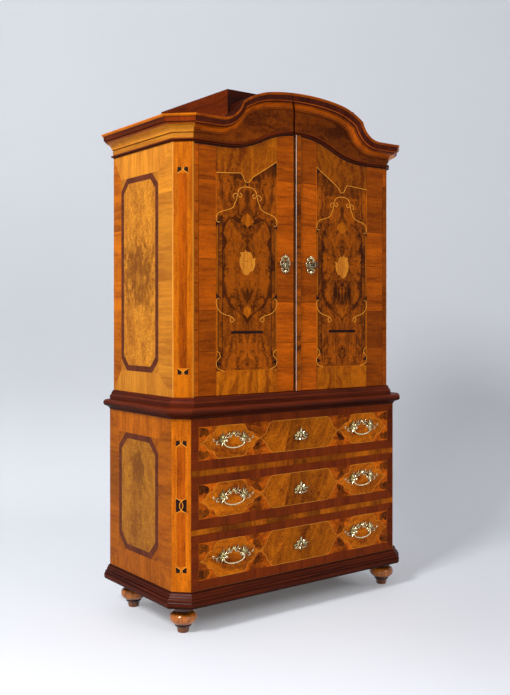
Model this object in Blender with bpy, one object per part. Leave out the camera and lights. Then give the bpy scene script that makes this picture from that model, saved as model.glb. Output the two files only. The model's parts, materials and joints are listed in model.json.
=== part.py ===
"""Cabinet on chest with an arched cornice, two doors, three drawers and bun feet.

Units are metres, +Z is up and the front looks along -Y. The origin is on the floor, under the
middle of the whole object.
"""

from math import asin, cos, exp, pi, radians, sin, sqrt, tan

import bmesh
import bpy
from mathutils import Matrix, Vector

# Fits
GLUE_GAP = 0.0003  # between pieces that touch
DRAWER_GAP = 0.0015  # around a drawer front
DOOR_GAP = 0.001  # beside and between the doors
DOOR_TOP_GAP = 0.002  # over a door, under the arch
DOOR_LIFT = 0.0026  # under a door, on its pivot collar
PIVOT_GAP = 0.0004  # round a pivot pin
BAIL_GAP = 0.0004  # round the pin of a bail
KEY_GAP = 0.0005  # round a key's shank
BOLT_GAP = 0.0003  # round the lock bolt
CUT_PAST = 0.010  # how far a cutter runs past the face it cuts

# Upper case
CAB_HALF_W = 0.588
CAB_CANT = 0.059  # width of the slanting corner, seen from the front
CAB_DEPTH = 0.545
CAB_POST_DEPTH = 0.075
SIDE_T = 0.022
BACK_T = 0.012
TOP_T = 0.020
SHELF_T = 0.018
SHELF_LOW_H = 0.340  # from the cabinet floor to the lower shelf
SHELF_HIGH_H = 0.690  # from the cabinet floor to the upper shelf

# Lower case
CHEST_STEP = 0.019  # the chest stands out from the cabinet
CHEST_CANT = 0.0545
CHEST_POST_DEPTH = 0.072
CHEST_BOTTOM_T = 0.020
RAIL_T = 0.0224
DRAWER_LOW_H = 0.2173
DRAWER_MID_H = 0.2080
DRAWER_TOP_H = 0.2034

# Heights from the floor up
FOOT_H = 0.109
PLINTH_H = 0.062
CHEST_TOP_T = 0.0442
CAB_BASE_T = 0.0375
DOOR_SIDE_H = 1.0054  # door opening at its outer edge
FRIEZE_H = 0.035  # soffit of the cornice to its crown moulding, at the corner
CORNICE_LIP = 0.0045  # cornice over the cabinet's top board

# Arch over the doors
DOOR_ARCH_HALF_W = 0.380
DOOR_ARCH_RISE = 0.088
CROWN_R = 1.200
CROWN_HALF_W = 0.181
SHOULDER_R = 0.350
CROWN_RISE = 0.1485  # middle of the crown over its straight ends
CUSP_X = 0.327  # where the arch meets the hollow
HOLLOW_SLOPE = radians(73)
FRIEZE_BOARD_T = 0.024
SCARF_X = -0.018  # slanting joint between the cornice halves

# Roof behind the arch
ROOF_HALF_W = 0.348
ROOF_BELOW_ARCH = 0.010
ROOF_T = 0.014

# Doors
DOOR_T = 0.024
DOOR_SPLIT_X = -0.0172
PIVOT_IN = 0.009  # pivot axis from the corner post
PIVOT_BACK = 0.006  # pivot axis behind the door's face
PIVOT_R = 0.003
PIVOT_LEN = 0.020
PIVOT_END_GAP = 0.002  # past the end of a pivot, in its hole
COLLAR_R = 0.0052
STRIP_W = 0.030
STRIP_T = 0.005
LOCK_X = 0.0705  # keyhole from the middle
LOCK_H = 0.5395  # keyhole over the cabinet floor

# Drawers
FRONT_T = 0.022
DRAWER_BACK_ROOM = 0.052  # behind a drawer, in front of the chest's back
DRAWER_SIDE_T = 0.012
DRAWER_FLOOR_T = 0.009
DRAWER_BOX_BELOW = 0.030  # drawer sides end this far under the front's top edge
PULL_IN = 0.2005  # middle of a pull from the end of its drawer's bay
PULL_RISE = 0.008  # pull over the middle of its drawer

# Brass and iron
PLATE_T = 0.0025
PULL_W = 0.200
PULL_H = 0.036  # from the pull's middle to its leaf tips
POST_X = 0.040
POST_R = 0.005
POST_OUT = 0.016
LEAF_AT = 0.5  # middle of a pull's leaf spray, as a share of the half width
LEAF_SPREAD = 0.24
CREST_SPREAD = 0.2
SCALLOP = 0.05  # depth of the scalloped edge, as a share of the height
BAIL_R = 0.0026
BAIL_PIN_R = 0.0019
BAIL_DROP = 0.034
BAIL_OUT = 0.011
BAIL_PIN_PAST = 0.003  # pin past the middle of its post
BAIL_FLARE = 0.0012  # arms lean out by this
BAIL_NECK = 0.0048  # pin to where the arm is full size
BAIL_ARM = 0.010  # pin to where the grip begins to bow
BAIL_BOW = 0.05  # grip wider than its arms, as a share
DRAWER_PLATE_W = 0.094
DRAWER_PLATE_H = 0.060
DOOR_PLATE_W = 0.066
DOOR_PLATE_H = 0.080
SHANK_R = 0.003
KEY_OUT = 0.026
BOW_R = 0.012
BOW_WIRE_R = 0.0024
BIT_DROP = 0.008
BIT_W = 0.0024
BIT_LEN = 0.008
LOCK_W = 0.080
LOCK_TALL = 0.060
LOCK_T = 0.018
BOLT_TALL = 0.010
BOLT_T = 0.006
BOLT_LEN = 0.075
BOLT_RISE = 0.018  # bolt over the keyhole
BOLT_SHOW = 0.030  # bolt past the lock at rest

# Feet
FOOT_IN_X = 0.061
FOOT_IN_FRONT = 0.067
FOOT_IN_BACK = 0.099
FOOT_SIDES = 20

# Mouldings: (distance out from the case, height from the moulding's own base)
TOP_EASE = 0.5  # last step of a moulded edge, as a share of the one before
PLINTH_LEDGE = 0.020
PLINTH_EDGE = [
    (0.018, 0.0),
    (0.0245, 0.003),
    (0.0286, 0.011),
    (0.0286, 0.024),
    (0.0235, 0.031),
    (0.0235, 0.037),
    (0.0160, 0.040),
    (0.0150, 0.047),
    (0.0115, 0.049),
    (0.0100, 0.056),
    (0.0040, 0.060),
]
WAIST_EDGE = [
    (0.001, 0.0),
    (0.003, 0.005),
    (0.009, 0.011),
    (0.019, 0.0155),
    (0.0225, 0.0165),
    (0.0290, 0.020),
    (0.0326, 0.0275),
    (0.0312, 0.035),
    (0.0260, 0.041),
    (0.0180, 0.0435),
]
CAB_BASE_EDGE = [
    (0.0200, 0.0),
    (0.0200, 0.0150),
    (0.0165, 0.0165),
    (0.0125, 0.0220),
    (0.0105, 0.0290),
    (0.0080, 0.0300),
    (0.0065, 0.0345),
    (0.0030, 0.0365),
]
ARCHITRAVE_EDGE = [
    (0.003, 0.0),
    (0.003, 0.0030),
    (0.009, 0.0035),
    (0.0125, 0.0060),
    (0.0125, 0.0095),
    (0.009, 0.0120),
    (0.004, 0.0130),
]
CROWN_EDGE = [
    (0.004, 0.0),
    (0.0095, 0.0005),
    (0.0100, 0.0040),
    (0.0120, 0.0100),
    (0.0180, 0.0170),
    (0.0290, 0.0220),
    (0.0360, 0.0260),
    (0.0400, 0.0305),
    (0.0430, 0.0310),
    (0.0430, 0.0345),
    (0.0480, 0.0350),
    (0.0500, 0.0510),
    (0.0540, 0.0530),
    (0.0580, 0.0570),
    (0.0595, 0.0610),
    (0.0595, 0.0625),
]

# Turned foot: (radius, height), as shares of the greatest radius and of the height
FOOT_R = 0.0535
FOOT_TOP_R = 0.027
FOOT_PROFILE = [
    (0.40, 0.0),
    (0.42, 0.03),
    (0.45, 0.13),
    (0.52, 0.19),
    (0.52, 0.21),
    (0.66, 0.24),
    (0.66, 0.27),
    (0.60, 0.285),
    (0.74, 0.33),
    (0.91, 0.43),
    (1.0, 0.56),
    (0.98, 0.66),
    (0.88, 0.76),
    (0.70, 0.82),
    (0.64, 0.84),
    (0.70, 0.87),
    (0.70, 0.94),
    (0.66, 0.97),
]

# Places worked out from the sizes above
MITRE = tan(pi / 8)
CORNICE_OUT = CROWN_EDGE[-1][0]
CROWN_H = CROWN_EDGE[-1][1]
DEPTH = CAB_DEPTH + CORNICE_OUT
BACK_Y = DEPTH / 2
CAB_Y = BACK_Y - CAB_DEPTH
CHEST_Y = CAB_Y - CHEST_STEP
CHEST_HALF_W = CAB_HALF_W + CHEST_STEP
CAB_FRONT_X = CAB_HALF_W - CAB_CANT
CHEST_FRONT_X = CHEST_HALF_W - CHEST_CANT
CHEST_FLOOR = FOOT_H + PLINTH_H
CHEST_ROOF = CHEST_FLOOR + DRAWER_LOW_H + DRAWER_MID_H + DRAWER_TOP_H + 2 * RAIL_T
CAB_BASE = CHEST_ROOF + CHEST_TOP_T
CAB_FLOOR = CAB_BASE + CAB_BASE_T
SOFFIT = CAB_FLOOR + DOOR_SIDE_H
CROWN_BASE = SOFFIT + FRIEZE_H
CROWN_TOP = CROWN_BASE + CROWN_H
TOP_BOARD = CROWN_TOP - TOP_T - CORNICE_LIP
ARCH_TOP = CROWN_TOP + CROWN_RISE
ROOF_TOP = ARCH_TOP - ROOF_BELOW_ARCH
BOARD_BACK_Y = CAB_Y + FRIEZE_BOARD_T
PIVOT_Y = CAB_Y + PIVOT_BACK
LOCK_Z = CAB_FLOOR + LOCK_H
DRAWER_BACK_Y = BACK_Y - BACK_T - DRAWER_BACK_ROOM
PULL_X = CHEST_FRONT_X - PULL_IN

# Finishes: colour, roughness, metallic
FINISHES = {
    "walnut": ((0.42, 0.17, 0.04), 0.28, 0.0),
    "walnut_dark": ((0.26, 0.09, 0.025), 0.28, 0.0),
    "mahogany": ((0.12, 0.025, 0.012), 0.3, 0.0),
    "pine": ((0.34, 0.19, 0.09), 0.7, 0.0),
    "brass": ((0.72, 0.66, 0.44), 0.3, 1.0),
    "iron": ((0.05, 0.05, 0.055), 0.45, 1.0),
}


def clear_scene():
    """Remove every object that the open file holds."""
    for item in list(bpy.data.objects):
        bpy.data.objects.remove(item, do_unlink=True)


def finish(item, kind):
    """Give one piece its own material."""
    colour, rough, metal = FINISHES[kind]
    material = bpy.data.materials.new(f"{item.name}_{kind}")
    material.use_nodes = True
    shader = material.node_tree.nodes["Principled BSDF"]
    shader.inputs["Base Color"].default_value = (*colour, 1.0)
    shader.inputs["Roughness"].default_value = rough
    shader.inputs["Metallic"].default_value = metal
    material.diffuse_color = (*colour, 1.0)
    item.data.materials.append(material)


def place(name, mesh, kind, origin=(0, 0, 0), parent=None):
    """Turn a world-space bmesh into a named object whose origin lies at a given point."""
    bmesh.ops.recalc_face_normals(mesh, faces=mesh.faces)
    bmesh.ops.translate(mesh, verts=mesh.verts, vec=-Vector(origin))
    data = bpy.data.meshes.new(name)
    mesh.to_mesh(data)
    mesh.free()
    item = bpy.data.objects.new(name, data)
    bpy.context.scene.collection.objects.link(item)
    item.location = origin
    if parent:
        item.parent = parent
        item.location = Vector(origin) - parent.location
    if kind:
        finish(item, kind)
    else:
        item.hide_render = True
        item.display_type = "WIRE"
    return item


def smooth(item, angle=35):
    """Shade a round piece smooth, with its corners kept sharp."""
    item.data.shade_smooth()
    item.data.set_sharp_from_angle(angle=radians(angle))


def combine(item, other, operation):
    """Cut another object out of a piece, or join it on, and keep the other as a hidden guide."""
    other.parent = item.parent
    other.matrix_parent_inverse = item.matrix_parent_inverse
    change = item.modifiers.new(f"{operation}_{other.name}".lower(), "BOOLEAN")
    change.operation = operation
    change.solver = "EXACT"
    change.object = other


def loft(rings, bent_cap=False):
    """Skin equal rings of points and cap both ends, a bent cap in two faces."""
    mesh = bmesh.new()
    rows = [[mesh.verts.new(point) for point in ring] for ring in rings]
    count = len(rows[0])
    for lower, upper in zip(rows, rows[1:]):
        for i in range(count):
            j = (i + 1) % count
            mesh.faces.new((lower[i], lower[j], upper[j], upper[i]))
    for row in (rows[0], rows[-1]):
        if bent_cap:
            mesh.faces.new((row[0], row[1], row[-2], row[-1]))
            mesh.faces.new(row[1:-1])
        else:
            mesh.faces.new(row)
    return mesh


def prism(plan, low, high):
    """Upright solid on a plan outline."""
    return loft([[(x, y, z) for x, y in plan] for z in (low, high)])


def block(x0, x1, y0, y1, z0, z1):
    """Box between two corners."""
    return prism([(x0, y0), (x1, y0), (x1, y1), (x0, y1)], z0, z1)


def circle(u, v, radius, sides):
    """Points round a circle in a plane."""
    turns = [2 * pi * i / sides for i in range(sides)]
    return [(u + radius * cos(turn), v + radius * sin(turn)) for turn in turns]


def tube_along_y(x, z, radius, y0, y1, sides=16):
    """Round bar along Y."""
    return loft([[(u, y, w) for u, w in circle(x, z, radius, sides)] for y in (y0, y1)])


def tube_along_z(x, y, radius, z0, z1, sides=16):
    """Round upright bar."""
    return prism(circle(x, y, radius, sides), z0, z1)


def outline(half_w, cant, front_y, out):
    """Plan of a case from its left rear, round both canted corners, to its right rear."""
    side_x = half_w + out
    side_y = front_y + cant - out * MITRE
    front_x = half_w - cant + out * MITRE
    left = [(-side_x, BACK_Y), (-side_x, side_y), (-front_x, front_y - out)]
    return left + [(-x, y) for x, y in reversed(left)]


def moulded_board(edge, base, top, half_w, cant, front_y):
    """Board with a moulded edge on its front, corners and sides."""
    levels = [(out, base + rise) for out, rise in edge]
    levels.append((edge[-1][0] * TOP_EASE, top))
    rings = []
    for out, z in levels:
        rings.append([(x, y, z) for x, y in outline(half_w, cant, front_y, out)])
    return loft(rings)


def turned(profile, x, y):
    """Solid of revolution about an upright axis, spun from its (radius, height) profile."""
    mesh = bmesh.new()
    points = [(0.0, profile[0][1])] + profile + [(0.0, profile[-1][1])]
    chain = [mesh.verts.new((r, 0, z)) for r, z in points]
    edges = [mesh.edges.new(pair) for pair in zip(chain, chain[1:])]
    bmesh.ops.spin(
        mesh,
        geom=chain + edges,
        cent=(0, 0, 0),
        axis=(0, 0, 1),
        angle=2 * pi,
        steps=FOOT_SIDES,
    )
    bmesh.ops.remove_doubles(mesh, verts=mesh.verts, dist=0.00002)
    bmesh.ops.translate(mesh, verts=mesh.verts, vec=(x, y, 0))
    return mesh


def feet():
    """Four turned bun feet, glued under the chest's bottom board."""
    x = CHEST_HALF_W - FOOT_IN_X
    front = CHEST_Y + FOOT_IN_FRONT
    back = BACK_Y - FOOT_IN_BACK
    top = CHEST_FLOOR - CHEST_BOTTOM_T - GLUE_GAP
    profile = [(r * FOOT_R, h * FOOT_H) for r, h in FOOT_PROFILE]
    profile += [(FOOT_TOP_R, FOOT_H), (FOOT_TOP_R, top)]
    for end, y in (("front", front), ("rear", back)):
        for side, sign in (("left", -1), ("right", 1)):
            mesh = turned(profile, sign * x, y)
            foot = place(f"foot_{end}_{side}", mesh, "walnut", (sign * x, y, 0))
            smooth(foot, 40)


def plinth():
    """Moulding round the foot of the chest, with a ledge under the bottom board."""
    ledge_top = PLINTH_H - CHEST_BOTTOM_T - GLUE_GAP
    section = [(-PLINTH_LEDGE, 0.0)] + PLINTH_EDGE
    section += [(GLUE_GAP, PLINTH_H), (GLUE_GAP, ledge_top), (-PLINTH_LEDGE, ledge_top)]
    columns = [outline(CHEST_HALF_W, CHEST_CANT, CHEST_Y, out) for out, rise in section]
    stations = []
    for i in range(len(columns[0])):
        stations.append([(*column[i], FOOT_H + rise) for column, (out, rise) in zip(columns, section)])
    place("plinth_moulding", loft(stations), "mahogany")


def chest_case():
    """Bottom, sides, canted posts, back, rails and moulded top of the chest."""
    low = CHEST_FLOOR + GLUE_GAP
    high = CHEST_ROOF - GLUE_GAP
    plan = outline(CHEST_HALF_W, CHEST_CANT, CHEST_Y, 0.0)
    place("chest_bottom", prism(plan, CHEST_FLOOR - CHEST_BOTTOM_T, CHEST_FLOOR), "pine")
    post_back = CHEST_Y + CHEST_POST_DEPTH
    inner = CHEST_HALF_W - SIDE_T
    for side, sign in (("left", -1), ("right", 1)):
        x = sign * CHEST_HALF_W
        front_x = sign * CHEST_FRONT_X
        corner = [(front_x, CHEST_Y), (front_x, post_back), (x, post_back), (x, CHEST_Y + CHEST_CANT)]
        place(f"chest_post_{side}", prism(corner, low, high), "walnut")
        board = block(sign * inner, x, post_back + GLUE_GAP, BACK_Y, low, high)
        place(f"chest_side_{side}", board, "walnut")
    fit = inner - GLUE_GAP
    back = block(-fit, fit, BACK_Y - BACK_T, BACK_Y, low, high)
    place("chest_back", back, "pine")
    rail_back = BACK_Y - BACK_T - GLUE_GAP
    face = CHEST_FRONT_X - GLUE_GAP
    shoulder = post_back + GLUE_GAP
    half = [(face, CHEST_Y), (face, shoulder), (fit, shoulder), (fit, rail_back)]
    plan = half + [(-x, y) for x, y in reversed(half)]
    for name, z in (("lower", rail_base(1)), ("upper", rail_base(2))):
        place(f"drawer_rail_{name}", prism(plan, z, z + RAIL_T), "walnut")
    top = moulded_board(WAIST_EDGE, CHEST_ROOF, CAB_BASE - GLUE_GAP, CHEST_HALF_W, CHEST_CANT, CHEST_Y)
    place("chest_top", top, "mahogany")


def rail_base(number):
    """Underside of the first or second rail over the lowest drawer."""
    if number == 1:
        return CHEST_FLOOR + DRAWER_LOW_H
    return CHEST_FLOOR + DRAWER_LOW_H + RAIL_T + DRAWER_MID_H


def scalloped_plate(x, z, face_y, width, top_edge, bottom_edge, columns):
    """Flat cast plate between a scalloped top edge and bottom edge, both given over -1 to 1."""
    front = []
    for i in range(columns + 1):
        share = -1 + 2 * i / columns
        across = x + share * width / 2
        front.append((across, z + bottom_edge(share), z + top_edge(share)))
    mesh = bmesh.new()
    layers = []
    for y in (face_y - GLUE_GAP - PLATE_T, face_y - GLUE_GAP):
        lows = [mesh.verts.new((u, y, low)) for u, low, high in front]
        highs = [mesh.verts.new((u, y, high)) for u, low, high in front]
        layers.append((lows, highs))
    (lows, highs), (back_lows, back_highs) = layers
    for i in range(columns):
        mesh.faces.new((lows[i], lows[i + 1], highs[i + 1], highs[i]))
        mesh.faces.new((back_lows[i], back_highs[i], back_highs[i + 1], back_lows[i + 1]))
        mesh.faces.new((highs[i], highs[i + 1], back_highs[i + 1], back_highs[i]))
        mesh.faces.new((lows[i + 1], lows[i], back_lows[i], back_lows[i + 1]))
    mesh.faces.new((lows[0], highs[0], back_highs[0], back_lows[0]))
    mesh.faces.new((highs[-1], lows[-1], back_lows[-1], back_highs[-1]))
    return mesh


def swell(share, middle, spread):
    """Smooth bump of height 1."""
    return exp(-(((share - middle) / spread) ** 2))


def pull_top(share):
    """Leafy upper edge of a pull: a crest in the middle and a spray over each post."""
    leaves = swell(abs(share), LEAF_AT, LEAF_SPREAD) + 0.92 * swell(share, 0.0, CREST_SPREAD)
    return PULL_H * (0.10 + 0.84 * min(leaves, 1.0) + SCALLOP * cos(14 * pi * share))


def pull_bottom(share):
    """Lower edge of a pull: leaves under each post and an open arch between them."""
    leaves = swell(abs(share), LEAF_AT, CREST_SPREAD)
    arch = 0.36 * swell(share, 0.0, 0.8 * CREST_SPREAD)
    return PULL_H * (arch - 0.06 - 0.66 * leaves + SCALLOP * cos(12 * pi * share))


def drawer_plate_top(share):
    """Pointed upper edge of a drawer's key plate."""
    return DRAWER_PLATE_H * (0.48 * (1 - abs(share)) ** 1.3 + 0.04 + 0.6 * SCALLOP * cos(9 * pi * share))


def drawer_plate_bottom(share):
    """Lower edge of a drawer's key plate."""
    return DRAWER_PLATE_H * (-0.42 * (1 - share * share) - 0.04 - 0.6 * SCALLOP * cos(7 * pi * share))


def door_plate_top(share):
    """Upper edge of a door's oval key plate."""
    oval = 0.44 * sqrt(max(0.0, 1.02 - share * share))
    return DOOR_PLATE_H * (oval + 0.6 * SCALLOP * cos(7 * pi * share))


def door_plate_bottom(share):
    """Lower edge of a door's oval key plate."""
    return -door_plate_top(share)


def keyhole_cutter(name, x, z, y0, y1, parent=None):
    """Round hole with a slot under it, cut along Y."""
    radius = SHANK_R + KEY_GAP
    half = BIT_W / 2 + KEY_GAP / 2
    start = asin(half / radius)
    ring = []
    for i in range(13):
        turn = -pi / 2 + start + (2 * pi - 2 * start) * i / 12
        ring.append((x + radius * cos(turn), z + radius * sin(turn)))
    low = z - BIT_DROP - KEY_GAP
    ring += [(x - half, low), (x + half, low)]
    mesh = loft([[(u, y, w) for u, w in ring] for y in (y0, y1)])
    return place(name, mesh, None, (x, y0, z), parent)


def pull(tag, x, z, drawer):
    """Cast pull with two posts, and its swinging bail."""
    plate_face = CHEST_Y - GLUE_GAP - PLATE_T
    mesh = scalloped_plate(x, z, CHEST_Y, PULL_W, pull_top, pull_bottom, 40)
    plate = place(f"pull_plate_{tag}", mesh, "brass", (x, CHEST_Y, z), drawer)
    pin_y = CHEST_Y - BAIL_OUT
    for side, sign in (("left", -1), ("right", 1)):
        post_x = x + sign * POST_X
        mesh = tube_along_y(post_x, z, POST_R, CHEST_Y - POST_OUT, plate_face + PLATE_T / 2, 12)
        combine(plate, place(f"post_{tag}_{side}", mesh, None, (post_x, CHEST_Y, z), drawer), "UNION")
    ring = circle(pin_y, z, BAIL_PIN_R + BAIL_GAP, 10)
    reach = POST_X + 2 * POST_R
    mesh = loft([[(u, y, w) for y, w in ring] for u in (x - reach, x + reach)])
    combine(plate, place(f"pin_hole_{tag}", mesh, None, (x, pin_y, z), drawer), "DIFFERENCE")
    bail(tag, x, pin_y, z, drawer)


def bail(tag, x, pin_y, z, drawer):
    """Bent bar that hangs from the posts: pins along X, then a bowed grip."""
    arm = POST_X + POST_R + BAIL_R + BAIL_GAP
    flare = arm + BAIL_FLARE
    route = [(-POST_X + BAIL_PIN_PAST, 0.0, BAIL_PIN_R), (-arm + BAIL_R, 0.0, BAIL_PIN_R)]
    route += [(-arm - BAIL_FLARE / 3, -BAIL_NECK / 4, BAIL_PIN_R), (-flare, -BAIL_NECK, BAIL_R)]
    bow = BAIL_DROP - BAIL_ARM - BAIL_R
    steps = 14
    for i in range(steps + 1):
        turn = pi * (1 + i / steps)
        across = 1.0 + BAIL_BOW * sin(turn) ** 2
        route.append((flare * cos(turn) * across, bow * sin(turn) - BAIL_ARM, BAIL_R))
    route += [(-u, w, r) for u, w, r in reversed(route[:4])]
    curve = bpy.data.curves.new(f"bail_{tag}", "CURVE")
    curve.dimensions = "3D"
    curve.bevel_depth = 1.0
    curve.bevel_resolution = 2
    curve.use_fill_caps = True
    spline = curve.splines.new("POLY")
    spline.points.add(len(route) - 1)
    for point, (u, w, radius) in zip(spline.points, route):
        point.co = (u, 0.0, w, 1.0)
        point.radius = radius
    item = bpy.data.objects.new(f"bail_{tag}", curve)
    bpy.context.scene.collection.objects.link(item)
    item.parent = drawer
    item.location = Vector((x, pin_y, z)) - drawer.location
    finish(item, "brass")


def drawer_set(tag, low, height):
    """One drawer: front, box, two pulls with bails, and a key plate."""
    middle = low + height / 2
    side = CHEST_FRONT_X - DRAWER_GAP
    front_mesh = block(-side, side, CHEST_Y, CHEST_Y + FRONT_T, low + DRAWER_GAP, low + height - DRAWER_GAP)
    front = place(f"drawer_front_{tag}", front_mesh, "walnut_dark", (0, CHEST_Y, middle))
    hole = keyhole_cutter(f"keyhole_{tag}", 0, middle, CHEST_Y - CUT_PAST, CHEST_Y + FRONT_T + CUT_PAST)
    combine(front, hole, "DIFFERENCE")
    box_y = CHEST_Y + FRONT_T + GLUE_GAP
    box_top = low + height - DRAWER_BOX_BELOW
    outer = block(-side, side, box_y, DRAWER_BACK_Y, low + GLUE_GAP, box_top)
    hollow_out(outer, DRAWER_SIDE_T, box_top - low - GLUE_GAP - DRAWER_FLOOR_T, 1)
    place(f"drawer_box_{tag}", outer, "pine", (0, box_y, low), front)
    mesh = scalloped_plate(0, middle, CHEST_Y, DRAWER_PLATE_W, drawer_plate_top, drawer_plate_bottom, 28)
    plate = place(f"key_plate_{tag}", mesh, "brass", (0, CHEST_Y, middle), front)
    hole = keyhole_cutter(f"plate_hole_{tag}", 0, middle, CHEST_Y - CUT_PAST, CHEST_Y + CUT_PAST, front)
    combine(plate, hole, "DIFFERENCE")
    for side_name, sign in (("left", -1), ("right", 1)):
        pull(f"{tag}_{side_name}", sign * PULL_X, middle + PULL_RISE, front)


def hollow_out(mesh, wall, depth, direction):
    """Sink a cavity into the top face (direction 1) or the bottom face (-1) of a box."""
    mesh.normal_update()
    bmesh.ops.recalc_face_normals(mesh, faces=mesh.faces)
    face = max(mesh.faces, key=lambda f: direction * f.calc_center_median().z)
    bmesh.ops.inset_region(mesh, faces=[face], thickness=wall, use_even_offset=True)
    moved = bmesh.ops.extrude_discrete_faces(mesh, faces=[face])["faces"][0]
    bmesh.ops.translate(mesh, verts=moved.verts, vec=(0, 0, -direction * depth))


def drawers():
    """Three drawers, one over the other."""
    drawer_set("lower", CHEST_FLOOR, DRAWER_LOW_H)
    drawer_set("middle", rail_base(1) + RAIL_T, DRAWER_MID_H)
    drawer_set("upper", rail_base(2) + RAIL_T, DRAWER_TOP_H)


def cabinet_case():
    """Moulded floor, sides, canted posts, back, shelves and top of the cabinet."""
    floor = moulded_board(CAB_BASE_EDGE, CAB_BASE, CAB_FLOOR, CAB_HALF_W, CAB_CANT, CAB_Y)
    place("cabinet_bottom", floor, "mahogany")
    low = CAB_FLOOR + GLUE_GAP
    high = TOP_BOARD - GLUE_GAP
    post_back = CAB_Y + CAB_POST_DEPTH
    inner = CAB_HALF_W - SIDE_T
    for side, sign in (("left", -1), ("right", 1)):
        x = sign * CAB_HALF_W
        front_x = sign * CAB_FRONT_X
        corner = [(front_x, CAB_Y), (front_x, post_back), (x, post_back), (x, CAB_Y + CAB_CANT)]
        place(f"cabinet_post_{side}", prism(corner, low, high), "walnut")
        board = block(sign * inner, x, post_back + GLUE_GAP, BACK_Y, low, high)
        place(f"cabinet_side_{side}", board, "walnut")
    fit = inner - GLUE_GAP
    back = block(-fit, fit, BACK_Y - BACK_T, BACK_Y, low, high)
    place("cabinet_back", back, "pine")
    shelf_back = BACK_Y - BACK_T - GLUE_GAP
    shelf_front = post_back + GLUE_GAP
    for name, rise in (("lower", SHELF_LOW_H), ("upper", SHELF_HIGH_H)):
        z = CAB_FLOOR + rise
        place(f"shelf_{name}", block(-fit, fit, shelf_front, shelf_back, z, z + SHELF_T), "pine")
    edge_y = BOARD_BACK_Y + GLUE_GAP
    edge_x = CAB_FRONT_X + edge_y - CAB_Y
    half = [(CAB_HALF_W, BACK_Y), (CAB_HALF_W, CAB_Y + CAB_CANT), (edge_x, edge_y)]
    plan = half + [(-x, y) for x, y in reversed(half)]
    place("cabinet_top", prism(plan, TOP_BOARD, TOP_BOARD + TOP_T), "pine")


def door_curve(x):
    """Height and slope of the arched soffit over the doors, made of three arcs."""
    half, rise = DOOR_ARCH_HALF_W, DOOR_ARCH_RISE
    radius = (half * half + rise * rise) / (4 * rise)
    across = abs(x)
    if across >= half:
        return SOFFIT, 0.0
    if across <= half / 2:
        drop = radius - sqrt(radius * radius - across * across)
        slope = -across / sqrt(radius * radius - across * across)
        z = SOFFIT + rise - drop
    else:
        run = half - across
        z = SOFFIT + radius - sqrt(radius * radius - run * run)
        slope = -run / sqrt(radius * radius - run * run)
    return z, slope if x >= 0 else -slope


class Crown:
    """Line of the crown moulding at one distance up from its base line, over the right half."""

    def __init__(self, rise):
        below = CROWN_H - rise  # under the crown's top edge
        turn = asin(CROWN_HALF_W / CROWN_R)
        self.turn = turn
        self.crown = Vector((0.0, ARCH_TOP - CROWN_R))
        self.crown_r = CROWN_R - below
        reach = CROWN_R - SHOULDER_R
        self.shoulder = self.crown + reach * Vector((sin(turn), cos(turn)))
        self.shoulder_r = SHOULDER_R - below
        cusp_turn = asin((CUSP_X - self.shoulder.x) / SHOULDER_R)
        cusp_z = self.shoulder.y + SHOULDER_R * cos(cusp_turn)
        hollow_r = (cusp_z - CROWN_TOP) / (1 - cos(HOLLOW_SLOPE))
        self.hollow = Vector((CUSP_X + hollow_r * sin(HOLLOW_SLOPE), CROWN_TOP + hollow_r))
        self.hollow_r = hollow_r + below
        self.cusp = self.meeting()

    def meeting(self):
        """Point where the shoulder's arc meets the hollow's arc."""
        line = self.hollow - self.shoulder
        far = line.length
        along = (self.shoulder_r**2 - self.hollow_r**2 + far * far) / (2 * far)
        aside = sqrt(self.shoulder_r**2 - along * along)
        ahead = line.normalized()
        return self.shoulder + along * ahead + aside * Vector((-ahead.y, ahead.x))

    def points(self, start_x):
        """Points from a given place on the crown's arc out to the level end of the hollow."""
        line = []
        first = asin(start_x / self.crown_r)
        for i in range(9):
            turn = first + (self.turn - first) * i / 9
            line.append(self.crown + self.crown_r * Vector((sin(turn), cos(turn))))
        last = asin((self.cusp.x - self.shoulder.x) / self.shoulder_r)
        for i in range(6):
            turn = self.turn + (last - self.turn) * i / 6
            line.append(self.shoulder + self.shoulder_r * Vector((sin(turn), cos(turn))))
        fall = asin((self.hollow.x - self.cusp.x) / self.hollow_r)
        for i in range(9):
            turn = fall * (1 - i / 8)
            line.append(self.hollow - self.hollow_r * Vector((sin(turn), cos(turn))))
        return line


def front_lines(sign, gap):
    """Lines of the front cornice, each a list of (x, y, z) from the scarf to the corner."""
    base = Crown(0.0)
    lines = []
    lower = [(-FRIEZE_BOARD_T, 0.0), (0.0, 0.0)] + ARCHITRAVE_EDGE
    upper = CROWN_EDGE + [(0.0, CROWN_H), (-FRIEZE_BOARD_T, CROWN_H)]
    for out, rise in lower:
        start = sign * (SCARF_X - out) + gap
        row = []
        guide = base.points(start)
        for point in guide:
            z, slope = door_curve(point.x)
            normal = Vector((-slope, 1.0)).normalized()
            row.append((point.x + normal.x * rise, z + normal.y * rise))
        row[0] = (start, row[0][1])
        lines.append((out, row))
    for out, rise in upper:
        start = sign * (SCARF_X - out) + gap
        row = [(point.x, point.y) for point in Crown(rise).points(start)]
        lines.append((out, row))
    result = []
    for out, row in lines:
        end_x = CAB_FRONT_X + out * MITRE if out > 0 else CAB_FRONT_X - GLUE_GAP
        row.append((end_x, row[-1][1]))
        result.append([(sign * x, CAB_Y - out, z) for x, z in row])
    return result


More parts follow.
